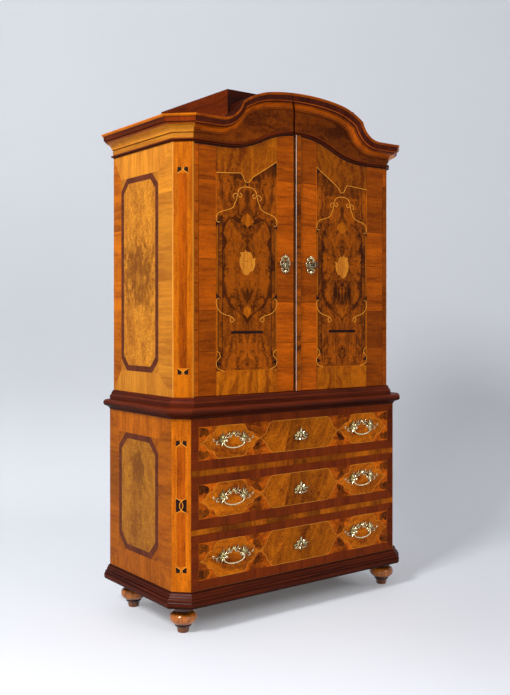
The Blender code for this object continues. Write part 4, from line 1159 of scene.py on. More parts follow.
class CABINET_OT_corners(bpy.types.Operator):
    """Lay the canted corners: a dark strip between small black and light motifs"""

    bl_idname = "cabinet.corners"
    bl_label = "Corners"

    def execute(self, context):
        polish_and_painted_light = wood("arris_painted_highlight", "box_light", "box_dark", 120, 14, 0.05, along="Z", gloss=1.0, coat=0.08)
        for side, sign in SIDES:
            sheet, wide = self.face(CABINET_CASE, sign, 23)
            self.strip(sheet, wide, CAB_LOW, CAB_HIGH, 0.52, ((1.0417, 1.8067, 0.40),))
            lines = self.motif(sheet, wide, 1.8067, 0.0243, 1) + self.motif(sheet, wide, 1.0417, 0.0250, -1)
            # Pale boxwood lines along both edges of the cant: painted highlights where the arrises catch the light.
            sheet.block(0.0, 0.0036, CAB_LOW, CAB_HIGH, "box", 1.6, UPRIGHT, 0.75)
            sheet.block(wide - 0.0024, wide, CAB_LOW, CAB_HIGH, "box", 1.6, UPRIGHT, 0.40)
            stringing(f"cabinet_corner_stringing_{side}", sheet, lines, 3.4, "case", width=0.0020)
            sheet.piece(f"cabinet_corner_marquetry_{side}", "case")
            # A glossy round bar along the arris, in a pale painted highlight.
            arris = [(sign * CAB_HALF_W, CAB_Y + CAB_CANT, CAB_LOW + (CAB_HIGH - CAB_LOW) * k / 8) for k in range(9)]
            finish_piece(f"cabinet_arris_{side}", bar("arris", [arris], 0.0016, polish_and_painted_light), "case")
            sheet, wide = self.face(CHEST_CASE, sign, 29)
            self.strip(sheet, wide, CHEST_LOW, CHEST_HIGH, 0.68, ((0.5330, 0.7356, 0.62), (0.2700, 0.4820, 0.50)))
            lines = self.motif(sheet, wide, 0.7356, 0.0250, 1) + self.motif(sheet, wide, 0.2700, 0.0250, -1)
            lines += self.knot(sheet, wide, 0.5075, 0.0275)
            stringing(f"chest_corner_stringing_{side}", sheet, lines, 3.4, "case", width=0.0020)
            sheet.piece(f"chest_corner_marquetry_{side}", "case")
        return {"FINISHED"}

    def face(self, case, sign, seed):
        """Sheet on a canted corner, and its width."""
        half_w, cant, front_y = case
        start = (-half_w, front_y + cant, 0) if sign < 0 else (half_w - cant, front_y, 0)
        return Sheet(start, (ROOT_HALF, sign * ROOT_HALF, 0), seed), cant / ROOT_HALF

    def strip(self, sheet, wide, low, high, ground, strips):
        """Light ground with darker strips up its middle."""
        half = 0.0168
        sheet.block(0.0, wide, low, high, "honey", 1, UPRIGHT, ground)
        for start, end, tone in strips:
            sheet.block(wide / 2 - half, wide / 2 + half, start, end, "orange", 2, UPRIGHT, tone)

    def crossing(self, sheet, wide, base, tall, side, line):
        """Black on both hands of two light lines that cross; gives the lines."""
        half = 0.0215
        lines = []
        for hand in (-1, 1):
            black, light = ([(wide / 2 + hand * share * half, base + rise * tall) for share, rise in part]
                            for part in (side, line))
            sheet.cell(black, "ebony", 3, UPRIGHT, 0.5)
            lines.append(flowing(light, 4))
        return lines

    def motif(self, sheet, wide, base, tall, way):
        """Two black spandrels and a spot beside crossing lines, upright or upside down; gives the lines."""
        side = [(1.0, 0.0), (0.72, 0.16), (0.42, 0.34), (0.20, 0.50), (0.14, 0.66), (0.24, 0.84), (0.26, 1.0)]
        line = [(1.0, 0.0), (0.72, 0.16), (0.42, 0.34), (0.16, 0.50), (-0.10, 0.64), (-0.20, 0.82), (-0.18, 1.0)]
        lines = self.crossing(sheet, wide, base, way * tall, flowing(side, 3) + [(1.0, 1.0)], line)
        centre = base + way * 0.84 * tall
        sheet.cell([(wide / 2 + 0.0018 * cos(k * pi / 4), centre + 0.0022 * sin(k * pi / 4)) for k in range(8)],
                   "ebony", 3, UPRIGHT, 0.5)
        return lines

    def knot(self, sheet, wide, centre, tall):
        """Black block parted by two light lines that cross twice; gives the lines."""
        side = [(1.0, 1.0), (0.62, 0.88), (0.26, 0.74), (0.10, 0.60), (0.30, 0.34), (0.38, 0.0), (0.30, -0.34),
                (0.10, -0.60), (0.26, -0.74), (0.62, -0.88), (1.0, -1.0)]
        line = [(1.0, 1.04), (0.62, 0.92), (0.26, 0.76), (0.0, 0.58), (-0.24, 0.34), (-0.32, 0.0), (-0.24, -0.34),
                (0.0, -0.58), (0.26, -0.76), (0.62, -0.92), (1.0, -1.04)]
        lines = self.crossing(sheet, wide, centre, tall, flowing(side, 3), line)
        sheet.cell([(wide / 2 + 0.0052 * cos(k * pi / 8), centre + 0.0145 * sin(k * pi / 8)) for k in range(16)],
                   "mahogany", 3, UPRIGHT, 0.5)
        return lines


def door_frame(sign):
    """Outer and inner edge of a door's panel."""
    return (-0.4206, -0.1128) if sign < 0 else (0.404, 0.106)


class CABINET_OT_doors(bpy.types.Operator):
    """Lay the doors: crossbanded borders, burl panel with strapwork, medallion and black bar"""

    bl_idname = "cabinet.doors"
    bl_label = "Doors"

    def execute(self, context):
        for side, sign in SIDES:
            self.door(side, sign)
        strip_low, strip_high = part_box("door_strip")
        tall = strip_high.z - strip_low.z
        count = 9
        size = (strip_high.x - strip_low.x, sizes().veneer * 2, tall / count)
        start = ((strip_low.x + strip_high.x) / 2, strip_low.y - sizes().veneer, strip_low.z + size[2] / 2)
        cross = wood("strip_crossband", "burl_light", "burl_dark", 50, 10, 0.14, 0.3, along="X", toned=True)
        crossband("door_strip_crossband", start, (0, 0, size[2]), count, size, "door_right", cross, 3, (0.0, 0.7))
        # The pale bead on the strip is a painted highlight down the doors' meeting edge.
        line = [(strip_low.x + 0.0040, strip_low.y - 0.0004, strip_low.z + tall * k / 8) for k in range(9)]
        bead = wood("bead_painted_highlight", "bead_highlight", "bead_highlight_dark", 60, 12, 0.1, along="Z", gloss=0.8, tone=0.6)
        finish_piece("door_strip_bead", bar("bead", [line], 0.0012, bead), "door_right")
        return {"FINISHED"}

    def top_line(self, side):
        """Top edge of a door's face, read from the solid, from left to right."""
        best = {}
        for vert in frame["nodes"][f"door_{side}"].data.vertices:
            if abs(vert.co.y - CAB_Y) < NEAR and vert.co.z > CAB_HIGH - 0.02:
                best[round(vert.co.x, 4)] = max(best.get(round(vert.co.x, 4), 0.0), vert.co.z)
        return sorted(best.items())

    def door(self, side, sign):
        """One door, laid out from its panel's outer edge to its inner edge."""
        body = f"door_{side}"
        rim = self.top_line(side)
        if sign > 0:
            strip_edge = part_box("door_strip")[1].x + 0.0002
            rim = [(strip_edge, rim[0][1])] + [point for point in rim if point[0] > strip_edge]
        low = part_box(body)[0].z
        sheet = Sheet((0, CAB_Y, 0), (1, 0, 0), 31)
        sheet.cell([(rim[-1][0], low), (rim[0][0], low)] + rim, "mahogany", 1, UPRIGHT, 0.1)
        outer, inner = door_frame(sign)
        middle = (outer + inner) / 2
        half = abs(outer - inner) / 2

        def at(share, z):
            return middle - sign * share * half, z

        def both(points):
            return [[at(p, z) for p, z in points], [at(-p, z) for p, z in points]]

        self.borders(sheet, sign, rim, outer, inner, low)
        lines, faint = self.panel(sheet, at, both, middle)
        stringing(f"door_{side}_stringing", sheet, lines, 4.6, body)
        stringing(f"door_{side}_fine_line", sheet, faint, 4.4, body, "honey", 0.0016, 0.8)
        # Painted shadow: a black line along the door's top edge, where the shadow gap under the cornice falls.
        shadow = [(x, z - 0.0030) for x, z in rim]
        stringing(f"door_{side}_top_line", sheet, [shadow], 3.0, body, "ebony", 0.0056)
        sheet.piece(f"door_{side}_marquetry", body)

    def borders(self, sheet, sign, rim, outer, inner, low):
        """Crossbanded blocks round the panel."""
        edge = rim[0][0] if sign < 0 else rim[-1][0]
        meet = rim[-1][0] if sign < 0 else rim[0][0]
        split = edge - sign * 0.021
        seam = 0.0008
        # The right door's crossbanding is laid darker than the left's.
        darkening = 0.0 if sign < 0 else 0.16

        def under(a, b, floor, kind, turn, tone):
            a, b = sorted((a, b))
            top = [(a + seam, between(rim, a + seam))] + [p for p in rim if a + seam < p[0] < b - seam]
            top.append((b - seam, between(rim, b - seam)))
            sheet.cell([(b - seam, floor + seam), (a + seam, floor + seam)] + top, kind, 1.8, turn, tone - darkening)

        under(edge, split, 1.926, "orange", 0.0, 0.45)
        under(split, outer, 1.905, "orange", 0.0, 0.50)
        under(inner, meet, 1.817, "orange", 0.0, 0.42)
        under(outer, inner, 1.785, "flame", UPRIGHT, 0.42)
        sheet.stack(*sorted((edge, split)), [low, 1.02, 1.19, 1.38, 1.55, 1.70, 1.84, 1.926], "orange", 2, seam,
                    darkening + 0.06)
        sheet.stack(*sorted((split, outer)), [low, 1.106, 1.269, 1.473, 1.628, 1.789, 1.905], "orange", 2, seam, darkening)
        sheet.stack(*sorted((inner, meet)), [low, 1.134, 1.306, 1.473, 1.634, 1.817], "orange", 2, seam)
        spread = [outer + (inner - outer) * k / 3 for k in range(4)]
        for a, b in zip(spread, spread[1:]):
            a, b = sorted((a, b))
            sheet.block(a + seam, b - seam, low, 1.025, "flame", 2, UPRIGHT, 0.55 - darkening)
        # Painted shadow: a black line down the left door's meeting edge, where the gap beside the strip is in shade.
        if sign < 0:
            sheet.block(meet - 0.005, meet, low, rim[-1][1], "ebony", 2.4, UPRIGHT, 0.3)

    def panel(self, sheet, at, both, middle):
        """Burl panel with its inlay; gives the light lines and the faint ones."""

        def lay(points, kind, lift, turn, tone):
            sheet.cell([at(*point) for point in points], kind, lift, turn, tone)

        crown = [(-1.0, 1.8194), (-0.205, 1.828), (-0.13, 1.813), (-0.07, 1.798), (0.0, 1.7917),
                 (0.07, 1.796), (0.13, 1.806), (0.19, 1.817), (0.60, 1.855), (1.0, 1.893)]
        shield = [(1.235, 0.0), (1.250, 0.10), (1.262, 0.24), (1.270, 0.36), (1.280, 0.46), (1.300, 0.60),
                  (1.331, 0.75), (1.370, 0.79), (1.580, 0.79), (1.605, 0.75), (1.625, 0.68), (1.641, 0.55),
                  (1.650, 0.42), (1.656, 0.30), (1.664, 0.16), (1.672, 0.06), (1.684, 0.0)]
        foot_z, head_z = shield[0][0], shield[-1][0]

        def ground(u, v):
            p = 2 * u - 1
            return at(p, 1.025 + v * (between(crown, p) - 1.025))

        def ground_smoke(u, v):
            p = abs(2 * u - 1)
            z = ground(u, v)[1]
            if foot_z < z < head_z:
                gap = p - between(shield, z)
            else:
                gap = p + max(foot_z - z, z - head_z) * 5.0
            stem = max(0.0, 1 - p / 0.24) * max(0.0, 1 - abs(z - 1.715) / 0.06)
            return 0.06 + 1.0 * max(0.0, 1 - abs(gap) / 0.17) + 0.9 * stem + 5.4 * max(0.0, z - 1.70)

        sheet.net(48, 60, ground, "ground", 2, UPRIGHT, 0.52, ground_smoke, middle)

        def heart(u, v):
            z = foot_z + (head_z - foot_z) * v
            return at((2 * u - 1) * max(0.004, between(shield, z)), z)

        def heart_smoke(u, v):
            p = abs(2 * u - 1)
            rim = max(p, abs(2 * v - 1) ** 4)
            bar = max(0.0, 1 - abs(v - 0.69) / 0.08) + 0.9 * max(0.0, 1 - abs(v - 0.22) / 0.15) * (1 - 0.7 * p)
            low = 0.24 * max(0.0, min(1.0, (0.60 - v) / 0.3))
            return 0.08 + low + 0.85 * max(0.0, (rim - 0.84) / 0.16) + 0.50 * bar

        sheet.net(28, 52, heart, "burl", 4, UPRIGHT, 0.40, heart_smoke, middle)

        def foot(u, v):
            p = 2 * u - 1
            return at(p * (0.86 - 0.10 * abs(2 * v - 1)), 1.036 + v * (0.118 + 0.018 * cos(3 * pi * p)))

        def foot_smoke(u, v):
            return 0.06 + 0.36 * max(0.0, max(abs(2 * u - 1), abs(2 * v - 1)) - 0.75) / 0.25

        sheet.net(24, 10, foot, "ground", 3, UPRIGHT, 0.66, foot_smoke, middle)
        for hand in (-1, 1):
            for near, far, kind, lift, tone in ((0.80, 0.93, "burl", 3.0, 0.30), (0.93, 1.0, "honey", 3.0, 0.20),
                                                (0.795, 0.812, "ebony", 3.2, 0.5), (0.922, 0.938, "ebony", 3.2, 0.5)):
                near, far = hand * near, hand * far
                lay([(far, 1.085), (far, 1.645), (near, 1.655), (near, 1.085)], kind, lift, UPRIGHT, tone)
            near, far = hand * 0.785, hand * 0.80
            lay([(far, 1.70), (far, 1.784), (near, 1.784), (near, 1.70)], "ebony", 3.2, UPRIGHT, 0.5)
        lay([(0.0, 1.668), (-0.14, 1.652), (-0.22, 1.634), (-0.11, 1.620), (0.0, 1.610), (0.11, 1.620), (0.22, 1.634),
             (0.14, 1.652)], "flame", 4.4, UPRIGHT, 0.42)
        lay([(0.0, 1.290), (-0.12, 1.275), (-0.10, 1.256), (0.0, 1.240), (0.10, 1.256), (0.12, 1.275)],
            "flame", 4.4, UPRIGHT, 0.50)
        self.medallion(lay)
        black = [[(-0.53, 1.175), (0.53, 1.175), (0.53, 1.1862), (-0.53, 1.1862)]]
        for hand in (-1, 1):
            for z, tip in ((1.632, -0.030), (1.312, 0.030), (1.046, 0.030)):
                black.append([(hand * 1.0, z), (hand * 0.83, z + 0.2 * tip), (hand * 0.93, z + 0.5 * tip),
                              (hand * 1.0, z + tip)])
        black.append([(-0.06, 1.796), (0.06, 1.796), (0.0, 1.775)])
        black.append([(0.99, 1.889), (0.86, 1.876), (0.94, 1.868), (0.99, 1.858)])
        for points in black:
            lay(points, "ebony", 4.2, 0.0, 0.5)
        top = [at(*point) for point in crown]
        lines = [top[:1] + flowing(top[1:8], 3)[:-1] + top[7:]]
        scroll = [(0.0, 1.774), (-0.14, 1.772), (-0.25, 1.764), (-0.31, 1.748), (-0.28, 1.733), (-0.20, 1.731),
                  (-0.18, 1.742), (-0.24, 1.747)]
        reach = [(-0.31, 1.748), (-0.35, 1.722), (-0.41, 1.702), (-0.47, 1.686), (-0.62, 1.675), (-0.82, 1.667),
                 (-0.95, 1.656), (-1.0, 1.636), (-0.96, 1.622), (-0.88, 1.624)]
        curl = [(-0.90, 1.318), (-0.98, 1.314), (-1.0, 1.297), (-0.95, 1.276), (-0.83, 1.259), (-0.66, 1.250),
                (-0.50, 1.243), (-0.41, 1.226)]
        low = [(-0.98, 1.106), (-0.90, 1.098), (-0.88, 1.082), (-0.95, 1.072), (-1.0, 1.060), (-0.97, 1.040),
               (-0.86, 1.030), (-0.74, 1.025)]
        branch = [(-0.30, 1.738), (-0.38, 1.744), (-0.45, 1.738), (-0.46, 1.727), (-0.41, 1.724)]
        sprig = [(-0.50, 1.243), (-0.56, 1.232), (-0.52, 1.222), (-0.46, 1.226)]
        for path in (scroll, reach, curl, low, branch, sprig):
            for line in both(path):
                lines.append(flowing(line, 5))
        faint = both([(-1.0, 1.8194), (-1.0, 1.640)]) + both([(-1.0, 1.300), (-1.0, 1.064)])
        faint += [[at(1.0, 1.893), at(1.0, 1.8194)], [at(-0.74, 1.025), at(0.74, 1.025)]]
        return lines, faint

    def medallion(self, lay):
        """Light urn-shaped medallion with a few engraved strokes, in millimetres from its centre.

        half is half the panel's width in millimetres, and centre the height of the medallion in metres."""
        half, centre = 154, 1.466
        rim = [(-10, 53), (-14, 43), (-36, 40), (-32, 25), (-38, 18), (-40, 3), (-37, -14), (-29, -31), (-22, -44),
               (-11, -51), (3, -52), (10, -44), (14, -37), (26, -36), (36, -21), (40, -3), (39, 10), (46, 21), (33, 16),
               (26, 18), (25, 29), (17, 42), (-5, 44)]
        lay([(x / half, centre + z * MM) for x, z in rim], "gold", 5.0, UPRIGHT, 0.85)
        strokes = ((-20, 34, 8, 37), (-24, 14, -6, 24), (8, 22, 20, 6), (-28, -4, -12, -26), (0, 12, -2, -30),
                   (24, -4, 12, -26), (-16, 4, 14, 4))
        for x0, z0, x1, z1 in strokes:
            way = Vector((x1 - x0, z1 - z0)).normalized() * 1.1
            ends = ((x0 - way.y, z0 + way.x), (x1 - way.y / 3, z1 + way.x / 3), (x1 + way.y / 3, z1 - way.x / 3),
                    (x0 + way.y, z0 - way.x))
            lay([(x / half, centre + z * MM) for x, z in ends], "honey", 5.5, 0.0, 0.45)


class CABINET_OT_drawers(bpy.types.Operator):
    """Lay the drawer fronts and the crossbanded rails between them"""

    bl_idname = "cabinet.drawers"
    bl_label = "Drawers"

    def execute(self, context):
        for number, tag in enumerate(DRAWERS):
            self.front(tag, 41 + number)
        cross = wood("rail_crossband", "honey_light", "orange_dark", 60, 8, 0.12, 0.3, along="Z", toned=True)
        for number, tag in enumerate(("lower", "upper")):
            low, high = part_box(f"drawer_rail_{tag}")
            long = 2 * (CHEST_FRONT_X - 0.0004)
            count = round(long / sizes().block_length)
            size = (long / count, sizes().veneer * 2, high.z - low.z - 0.0006)
            start = (-long / 2 + size[0] / 2, CHEST_Y - sizes().veneer, (low.z + high.z) / 2)
            crossband(f"rail_{tag}_crossband", start, (size[0], 0, 0), count, size, "case", cross, 7 + number,
                      (0.0, 0.50))
        return {"FINISHED"}

    def front(self, tag, seed):
        """One drawer front: red crossband round a burl ground with three cartouches."""
        low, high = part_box(f"drawer_front_{tag}")
        body = f"drawer_{tag}"
        sheet = Sheet((0, CHEST_Y, 0), (1, 0, 0), seed)
        edge = high.x - 0.0006
        floor, top = low.z + 0.0006, high.z - 0.0006
        left, right, base, head = -0.517, 0.517, floor + 0.036, top - 0.031
        blocks = 7
        for k in range(blocks):
            a, b = -edge + 2 * edge * k / blocks, -edge + 2 * edge * (k + 1) / blocks
            start, end = max(left, min(right, a)), max(left, min(right, b))
            for rim, field in ((floor, base), (top, head)):
                sheet.cell([(a, rim), (b, rim), (end, field), (start, field)], "red", 1, UPRIGHT,
                           sheet.draw.uniform(0.36, 0.52))
        sheet.cell([(-edge, floor), (left, base), (left, head), (-edge, top)], "red", 1, 0.0, 0.42)
        sheet.cell([(edge, floor), (right, base), (right, head), (edge, top)], "red", 1, 0.0, 0.18)
        middle = (base + head) / 2
        tall = (head - base) / 2 - 0.0008

        def at(a, b):
            return a, middle + b * tall

        def smoke(u, v):
            a = abs(2 * u - 1) * right
            return 0.10 + 0.34 * abs(2 * v - 1) + 0.45 * max(0.0, 1 - abs(a - 0.225) / 0.06)

        def ground(u, v):
            return left + (right - left) * u, base + (head - base) * v

        sheet.net(60, 6, ground, "frieze", 1, 0.0, 0.70, smoke, 0.0)
        heart = [(0.000, 1.0), (0.149, 1.0), (0.160, 0.92), (0.168, 0.76), (0.176, 0.62), (0.180, 0.44), (0.190, 0.24),
                 (0.212, 0.02), (0.194, -0.22), (0.184, -0.38), (0.178, -0.56), (0.166, -0.82), (0.149, -1.0),
                 (0.000, -1.0)]
        for hand in (-1, 1):
            half = [at(hand * a, b) for a, b in heart]
            sheet.cell(half, "cartouche", 2, UPRIGHT - hand * 0.5, 0.48 if hand < 0 else 0.34, mirror=0.0)
            sheet.cell([(0.0, base + MM), (hand * 0.085, base + MM), (hand * 0.052, head - MM), (0.0, head - MM)],
                       "cartouche", 2.4, UPRIGHT - hand * 0.35, 0.24, mirror=0.0)
        lines = [[at(a, b) for a, b in heart] + [at(-a, b) for a, b in heart[::-1]]]
        lobe = [(0.048, 1.0), (0.063, 0.96), (0.075, 0.82), (0.079, 0.62), (0.086, 0.50), (0.106, 0.45), (0.114, 0.34),
                (0.120, 0.18), (0.134, 0.07), (0.150, 0.0)]
        quarter = lobe + [(a, -b) for a, b in lobe[-2::-1]]
        outer = [(0.516, 0.98), (0.494, 0.94), (0.474, 0.84), (0.466, 0.66), (0.472, 0.50), (0.484, 0.44),
                 (0.490, 0.54), (0.498, 0.46), (0.508, 0.40), (0.516, 0.44)]
        inner = [(0.206, 0.16), (0.214, 0.44), (0.226, 0.62), (0.244, 0.70), (0.252, 0.56), (0.244, 0.44),
                 (0.234, 0.30), (0.222, 0.20)]
        for hand in (-1, 1):
            centre = hand * 0.362
            ring = [at(centre + a, b) for a, b in quarter] + [at(centre - a, b) for a, b in quarter[::-1]]
            sheet.cell(ring, "cartouche", 2, 0.25 * hand, 0.68)
            lines.append(ring + ring[:1])
            for up in (-1, 1):
                for leaf, closed in ((outer, False), (inner, True)):
                    points = flowing([at(hand * a, up * b) for a, b in leaf], 3, closed)
                    sheet.cell(points, "burl", 2.2, UPRIGHT, 0.18)
        stringing(f"drawer_{tag}_stringing", sheet, lines, 3.2, body, width=0.0016, tone=0.55)
        sheet.piece(f"drawer_{tag}_marquetry", body, "walnut_dark")


def leaf_object():
    """Cast leaf of unit size: it grows along Z, spreads along X and rises towards -Y."""
    mesh = bmesh.new()
    hollow = mesh.verts.layers.float.new("hollow")
    rows, columns = 11, 7
    grid = []
    for i in range(rows):
        t = i / (rows - 1)
        spread = (sin(pi * min(1.0, 0.10 + 0.90 * t**0.75)) ** 0.9) * (1.0 + 0.22 * cos(t * 7 * pi))
        spread = max(spread, 0.03)
        row = []
        for j in range(columns):
            s = -1 + 2 * j / (columns - 1)
            crown = (1 - abs(s) ** 1.6) * (0.35 + 0.65 * sin(pi * (0.12 + 0.8 * t)))
            vein = 0.22 * (1 - min(1.0, abs(s) * 3.5))
            row.append(mesh.verts.new((0.5 * s * spread, -0.15 - crown - vein - 0.55 * t * t, t)))
            # Edges, roots and the underside of a leaf are dark: tarnish in the hollows, and painted shade between and
            # under the leaves.
            row[-1][hollow] = max(abs(s) ** 2.0, 1.0 - 3.6 * t)
        grid.append(row)
    back = [[mesh.verts.new((v.co.x, -0.45 * v.co.z**2, v.co.z)) for v in row] for row in grid]
    for row in back:
        for vert in row:
            vert[hollow] = 1.0
    for i in range(rows - 1):
        for j in range(columns - 1):
            mesh.faces.new((grid[i][j], grid[i][j + 1], grid[i + 1][j + 1], grid[i + 1][j]))
            mesh.faces.new((back[i][j], back[i + 1][j], back[i + 1][j + 1], back[i][j + 1]))
        for j, way in ((0, 1), (columns - 1, -1)):
            mesh.faces.new((grid[i][j], grid[i + 1][j], back[i + 1][j], back[i][j])[::way])
    for i in (0, rows - 1):
        for j in range(columns - 1):
            mesh.faces.new((grid[i][j], grid[i][j + 1], back[i][j + 1], back[i][j]))
    outwards(mesh)
    item = bpy.data.objects.new("leaf", mesh_data(mesh, "leaf", (), 60))
    bpy.context.scene.collection.objects.link(item)
    return item


class Casting:
    """Openwork casting on a flat face: leaves, scrolls and turned knobs, in millimetres round a middle point."""

    def __init__(self, x, y, z, brass):
        self.place = Vector((x, y, z))
        self.brass = metal(*brass)
        self.leaves = []
        self.lines = []
        self.knobs = []

    def leaf(self, x, z, degrees, long, wide, out=1.2):
        """One leaf that grows from a point; 0 degrees points up and 90 to the right."""
        self.leaves.append((x * MM, z * MM, radians(degrees), long * MM, wide * MM, out * MM))

    def pair(self, x, z, degrees, long, wide, out=1.2):
        """The same leaf on both hands."""
        self.leaf(x, z, degrees, long, wide, out)
        self.leaf(-x, z, -degrees, long, wide, out)

    def line(self, points):
        """One bar along points of the face."""
        self.lines.append([self.place + Vector((x * MM, -2.2 * MM, z * MM)) for x, z in points])

    def scrolls(self, *points):
        """The same scroll on both hands."""
        for hand in (1, -1):
            self.line(flowing([(hand * x, z) for x, z in points], 5))

    def keyhole(self):
        """Raised rim of a keyhole: a round head over a slot."""
        rim = [(4.2 * sin(k * pi / 8), 4.2 * cos(k * pi / 8)) for k in range(-7, 8)]
        rim = [(rim[0][0] + 1, -10.5)] + rim + [(rim[-1][0] - 1, -10.5)]
        self.line(rim + rim[:1])

    def knob(self, x, z, profile):
        """One turned knob that stands out from the face; profile is (radius, distance out)."""
        place = standing_out(self.place + Vector((x * MM, 0, z * MM)))
        self.knobs.append(lathe([(radius * MM, out * MM) for radius, out in profile], 20, place))

    def piece(self, name, body, node):
        """Cast everything into one piece."""
        data = bpy.data.meshes.new("spray")
        data.from_pydata([self.place + Vector((leaf[0], -leaf[5], leaf[1])) for leaf in self.leaves], [], [])
        for key, slot in (("turn", 2), ("long", 3), ("wide", 4)):
            held = data.attributes.new(key, "FLOAT", "POINT")
            held.data.foreach_set("value", [leaf[slot] for leaf in self.leaves])
        leaf = leaf_object()
        tree = geometry_tree("leaf_spray", {"Leaf": "Object", "Relief": "Float"}, leaf_spray)
        values = {"Leaf": leaf, "Relief": sizes().leaf_relief, "Material": self.brass}
        parts = [run_tree("spray", data, tree, values)]
        bpy.data.objects.remove(leaf)
        parts.append(bar("scrolls", self.lines, sizes().scroll_radius, self.brass))
        parts += [mesh_data(knob, "knob") for knob in self.knobs]
        finish_piece(name, mesh_data(join(parts), name, [self.brass], 55), body, (node,))


class CABINET_OT_pulls(bpy.types.Operator):
    """Cast the leafy pulls and bend their bails"""

    bl_idname = "cabinet.pulls"
    bl_label = "Pulls"

    def execute(self, context):
        for tag in DRAWERS:
            for side, _ in SIDES:
                self.pull(f"{tag}_{side}", f"drawer_{tag}")
        return {"FINISHED"}

    def pull(self, tag, drawer):
        """One pull and its bail, where their solids are."""
        x, pin_y, z = joint_place(f"bail_{tag}")
        cast = Casting(x, CHEST_Y - 4 * sizes().veneer, z, CAST_BRASS)
        rose = 47
        for degrees, long, wide in ((4, 36, 6.6), (34, 30, 5.8), (62, 36, 6.6), (94, 52, 7.4), (122, 30, 5.8),
                                    (150, 32, 6.6), (180, 26, 5.8), (-34, 26, 5.8), (-70, 18, 6.0), (-140, 18, 6.0)):
            cast.pair(rose, 2, degrees, long, wide)
        for degrees, long in ((20, 22), (78, 26), (110, 22), (165, 20), (-50, 18)):
            cast.pair(rose + 2, 3, degrees, long, 5.2, 3.2)
        cast.leaf(0, 20, 0, 20, 5.8)
        for degrees, long in ((34, 17), (66, 13)):
            cast.pair(0, 20, degrees, long, 5.8)
        cast.pair(19, 21, 14, 18, 5.4)
        cast.pair(26, 18, 52, 14, 5.4)
        cast.pair(24, 14, -70, 14, 5.4)
        cast.scrolls((44, 4), (38, 16), (24, 23), (10, 19), (0, 21))
        cast.scrolls((44, 2), (34, 7), (22, 12), (12, 11), (10, 16), (15, 17))
        cast.scrolls((60, -4), (70, -13), (82, -12), (82, -4), (76, -5))
        cast.scrolls((88, 0), (96, 1), (99, 6), (94, 9))
        post = [(0, 0), (8.5, 0), (8.5, 1.5), (5.5, 4), (5.0, 12), (5.8, 13.5), (5.2, 15.5), (2.6, 16.4), (0, 16.6)]
        for hand in (-1, 1):
            cast.knob(hand * 40, 0, post)
        cast.piece(f"cast_pull_{tag}", drawer, f"pull_plate_{tag}")
        self.bail(f"bail_{tag}", x, pin_y, z)

    def bail(self, node, x, pin_y, z):
        """Bent bar with a swelling grip and a bead in its middle."""
        low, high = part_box(node)
        thick = sizes().bail_radius
        arm = (high.x - low.x) / 2 - thick
        drop = z - low.z
        route = [(-0.037, 0.0, 0.0018), (-arm + 0.003, 0.0, 0.0018), (-arm + 0.001, -0.001, 0.0021),
                 (-arm, -0.0045, thick)]
        for k in range(1, 24):
            turn = pi * (1 + k / 24)
            swell = 1.0 + 0.42 * max(0.0, -sin(turn)) ** 3
            swell += 0.30 * max(0.0, 1 - abs(cos(turn)) * 14)
            route.append((arm * cos(turn), -0.010 + (drop - 0.010 - 1.3 * thick) * sin(turn), thick * swell))
        route += [(-u, w, r) for u, w, r in reversed(route[:4])]
        rings = []
        sides = 14
        for k, (u, w, radius) in enumerate(route):
            ahead = Vector(route[min(k + 1, len(route) - 1)][:2]) - Vector(route[max(k - 1, 0)][:2])
            side = Vector((-ahead.y, ahead.x)).normalized()
            rolls = [2 * pi * j / sides for j in range(sides)]
            rings.append([(x + u + side.x * radius * cos(roll), pin_y + radius * sin(roll),
                           z + w + side.y * radius * cos(roll)) for roll in rolls])
        data = mesh_data(through(rings), f"bent_{node}", [metal(*WORN_BRASS)], 60)
        finish_piece(f"bent_{node}", data, node, (node,))


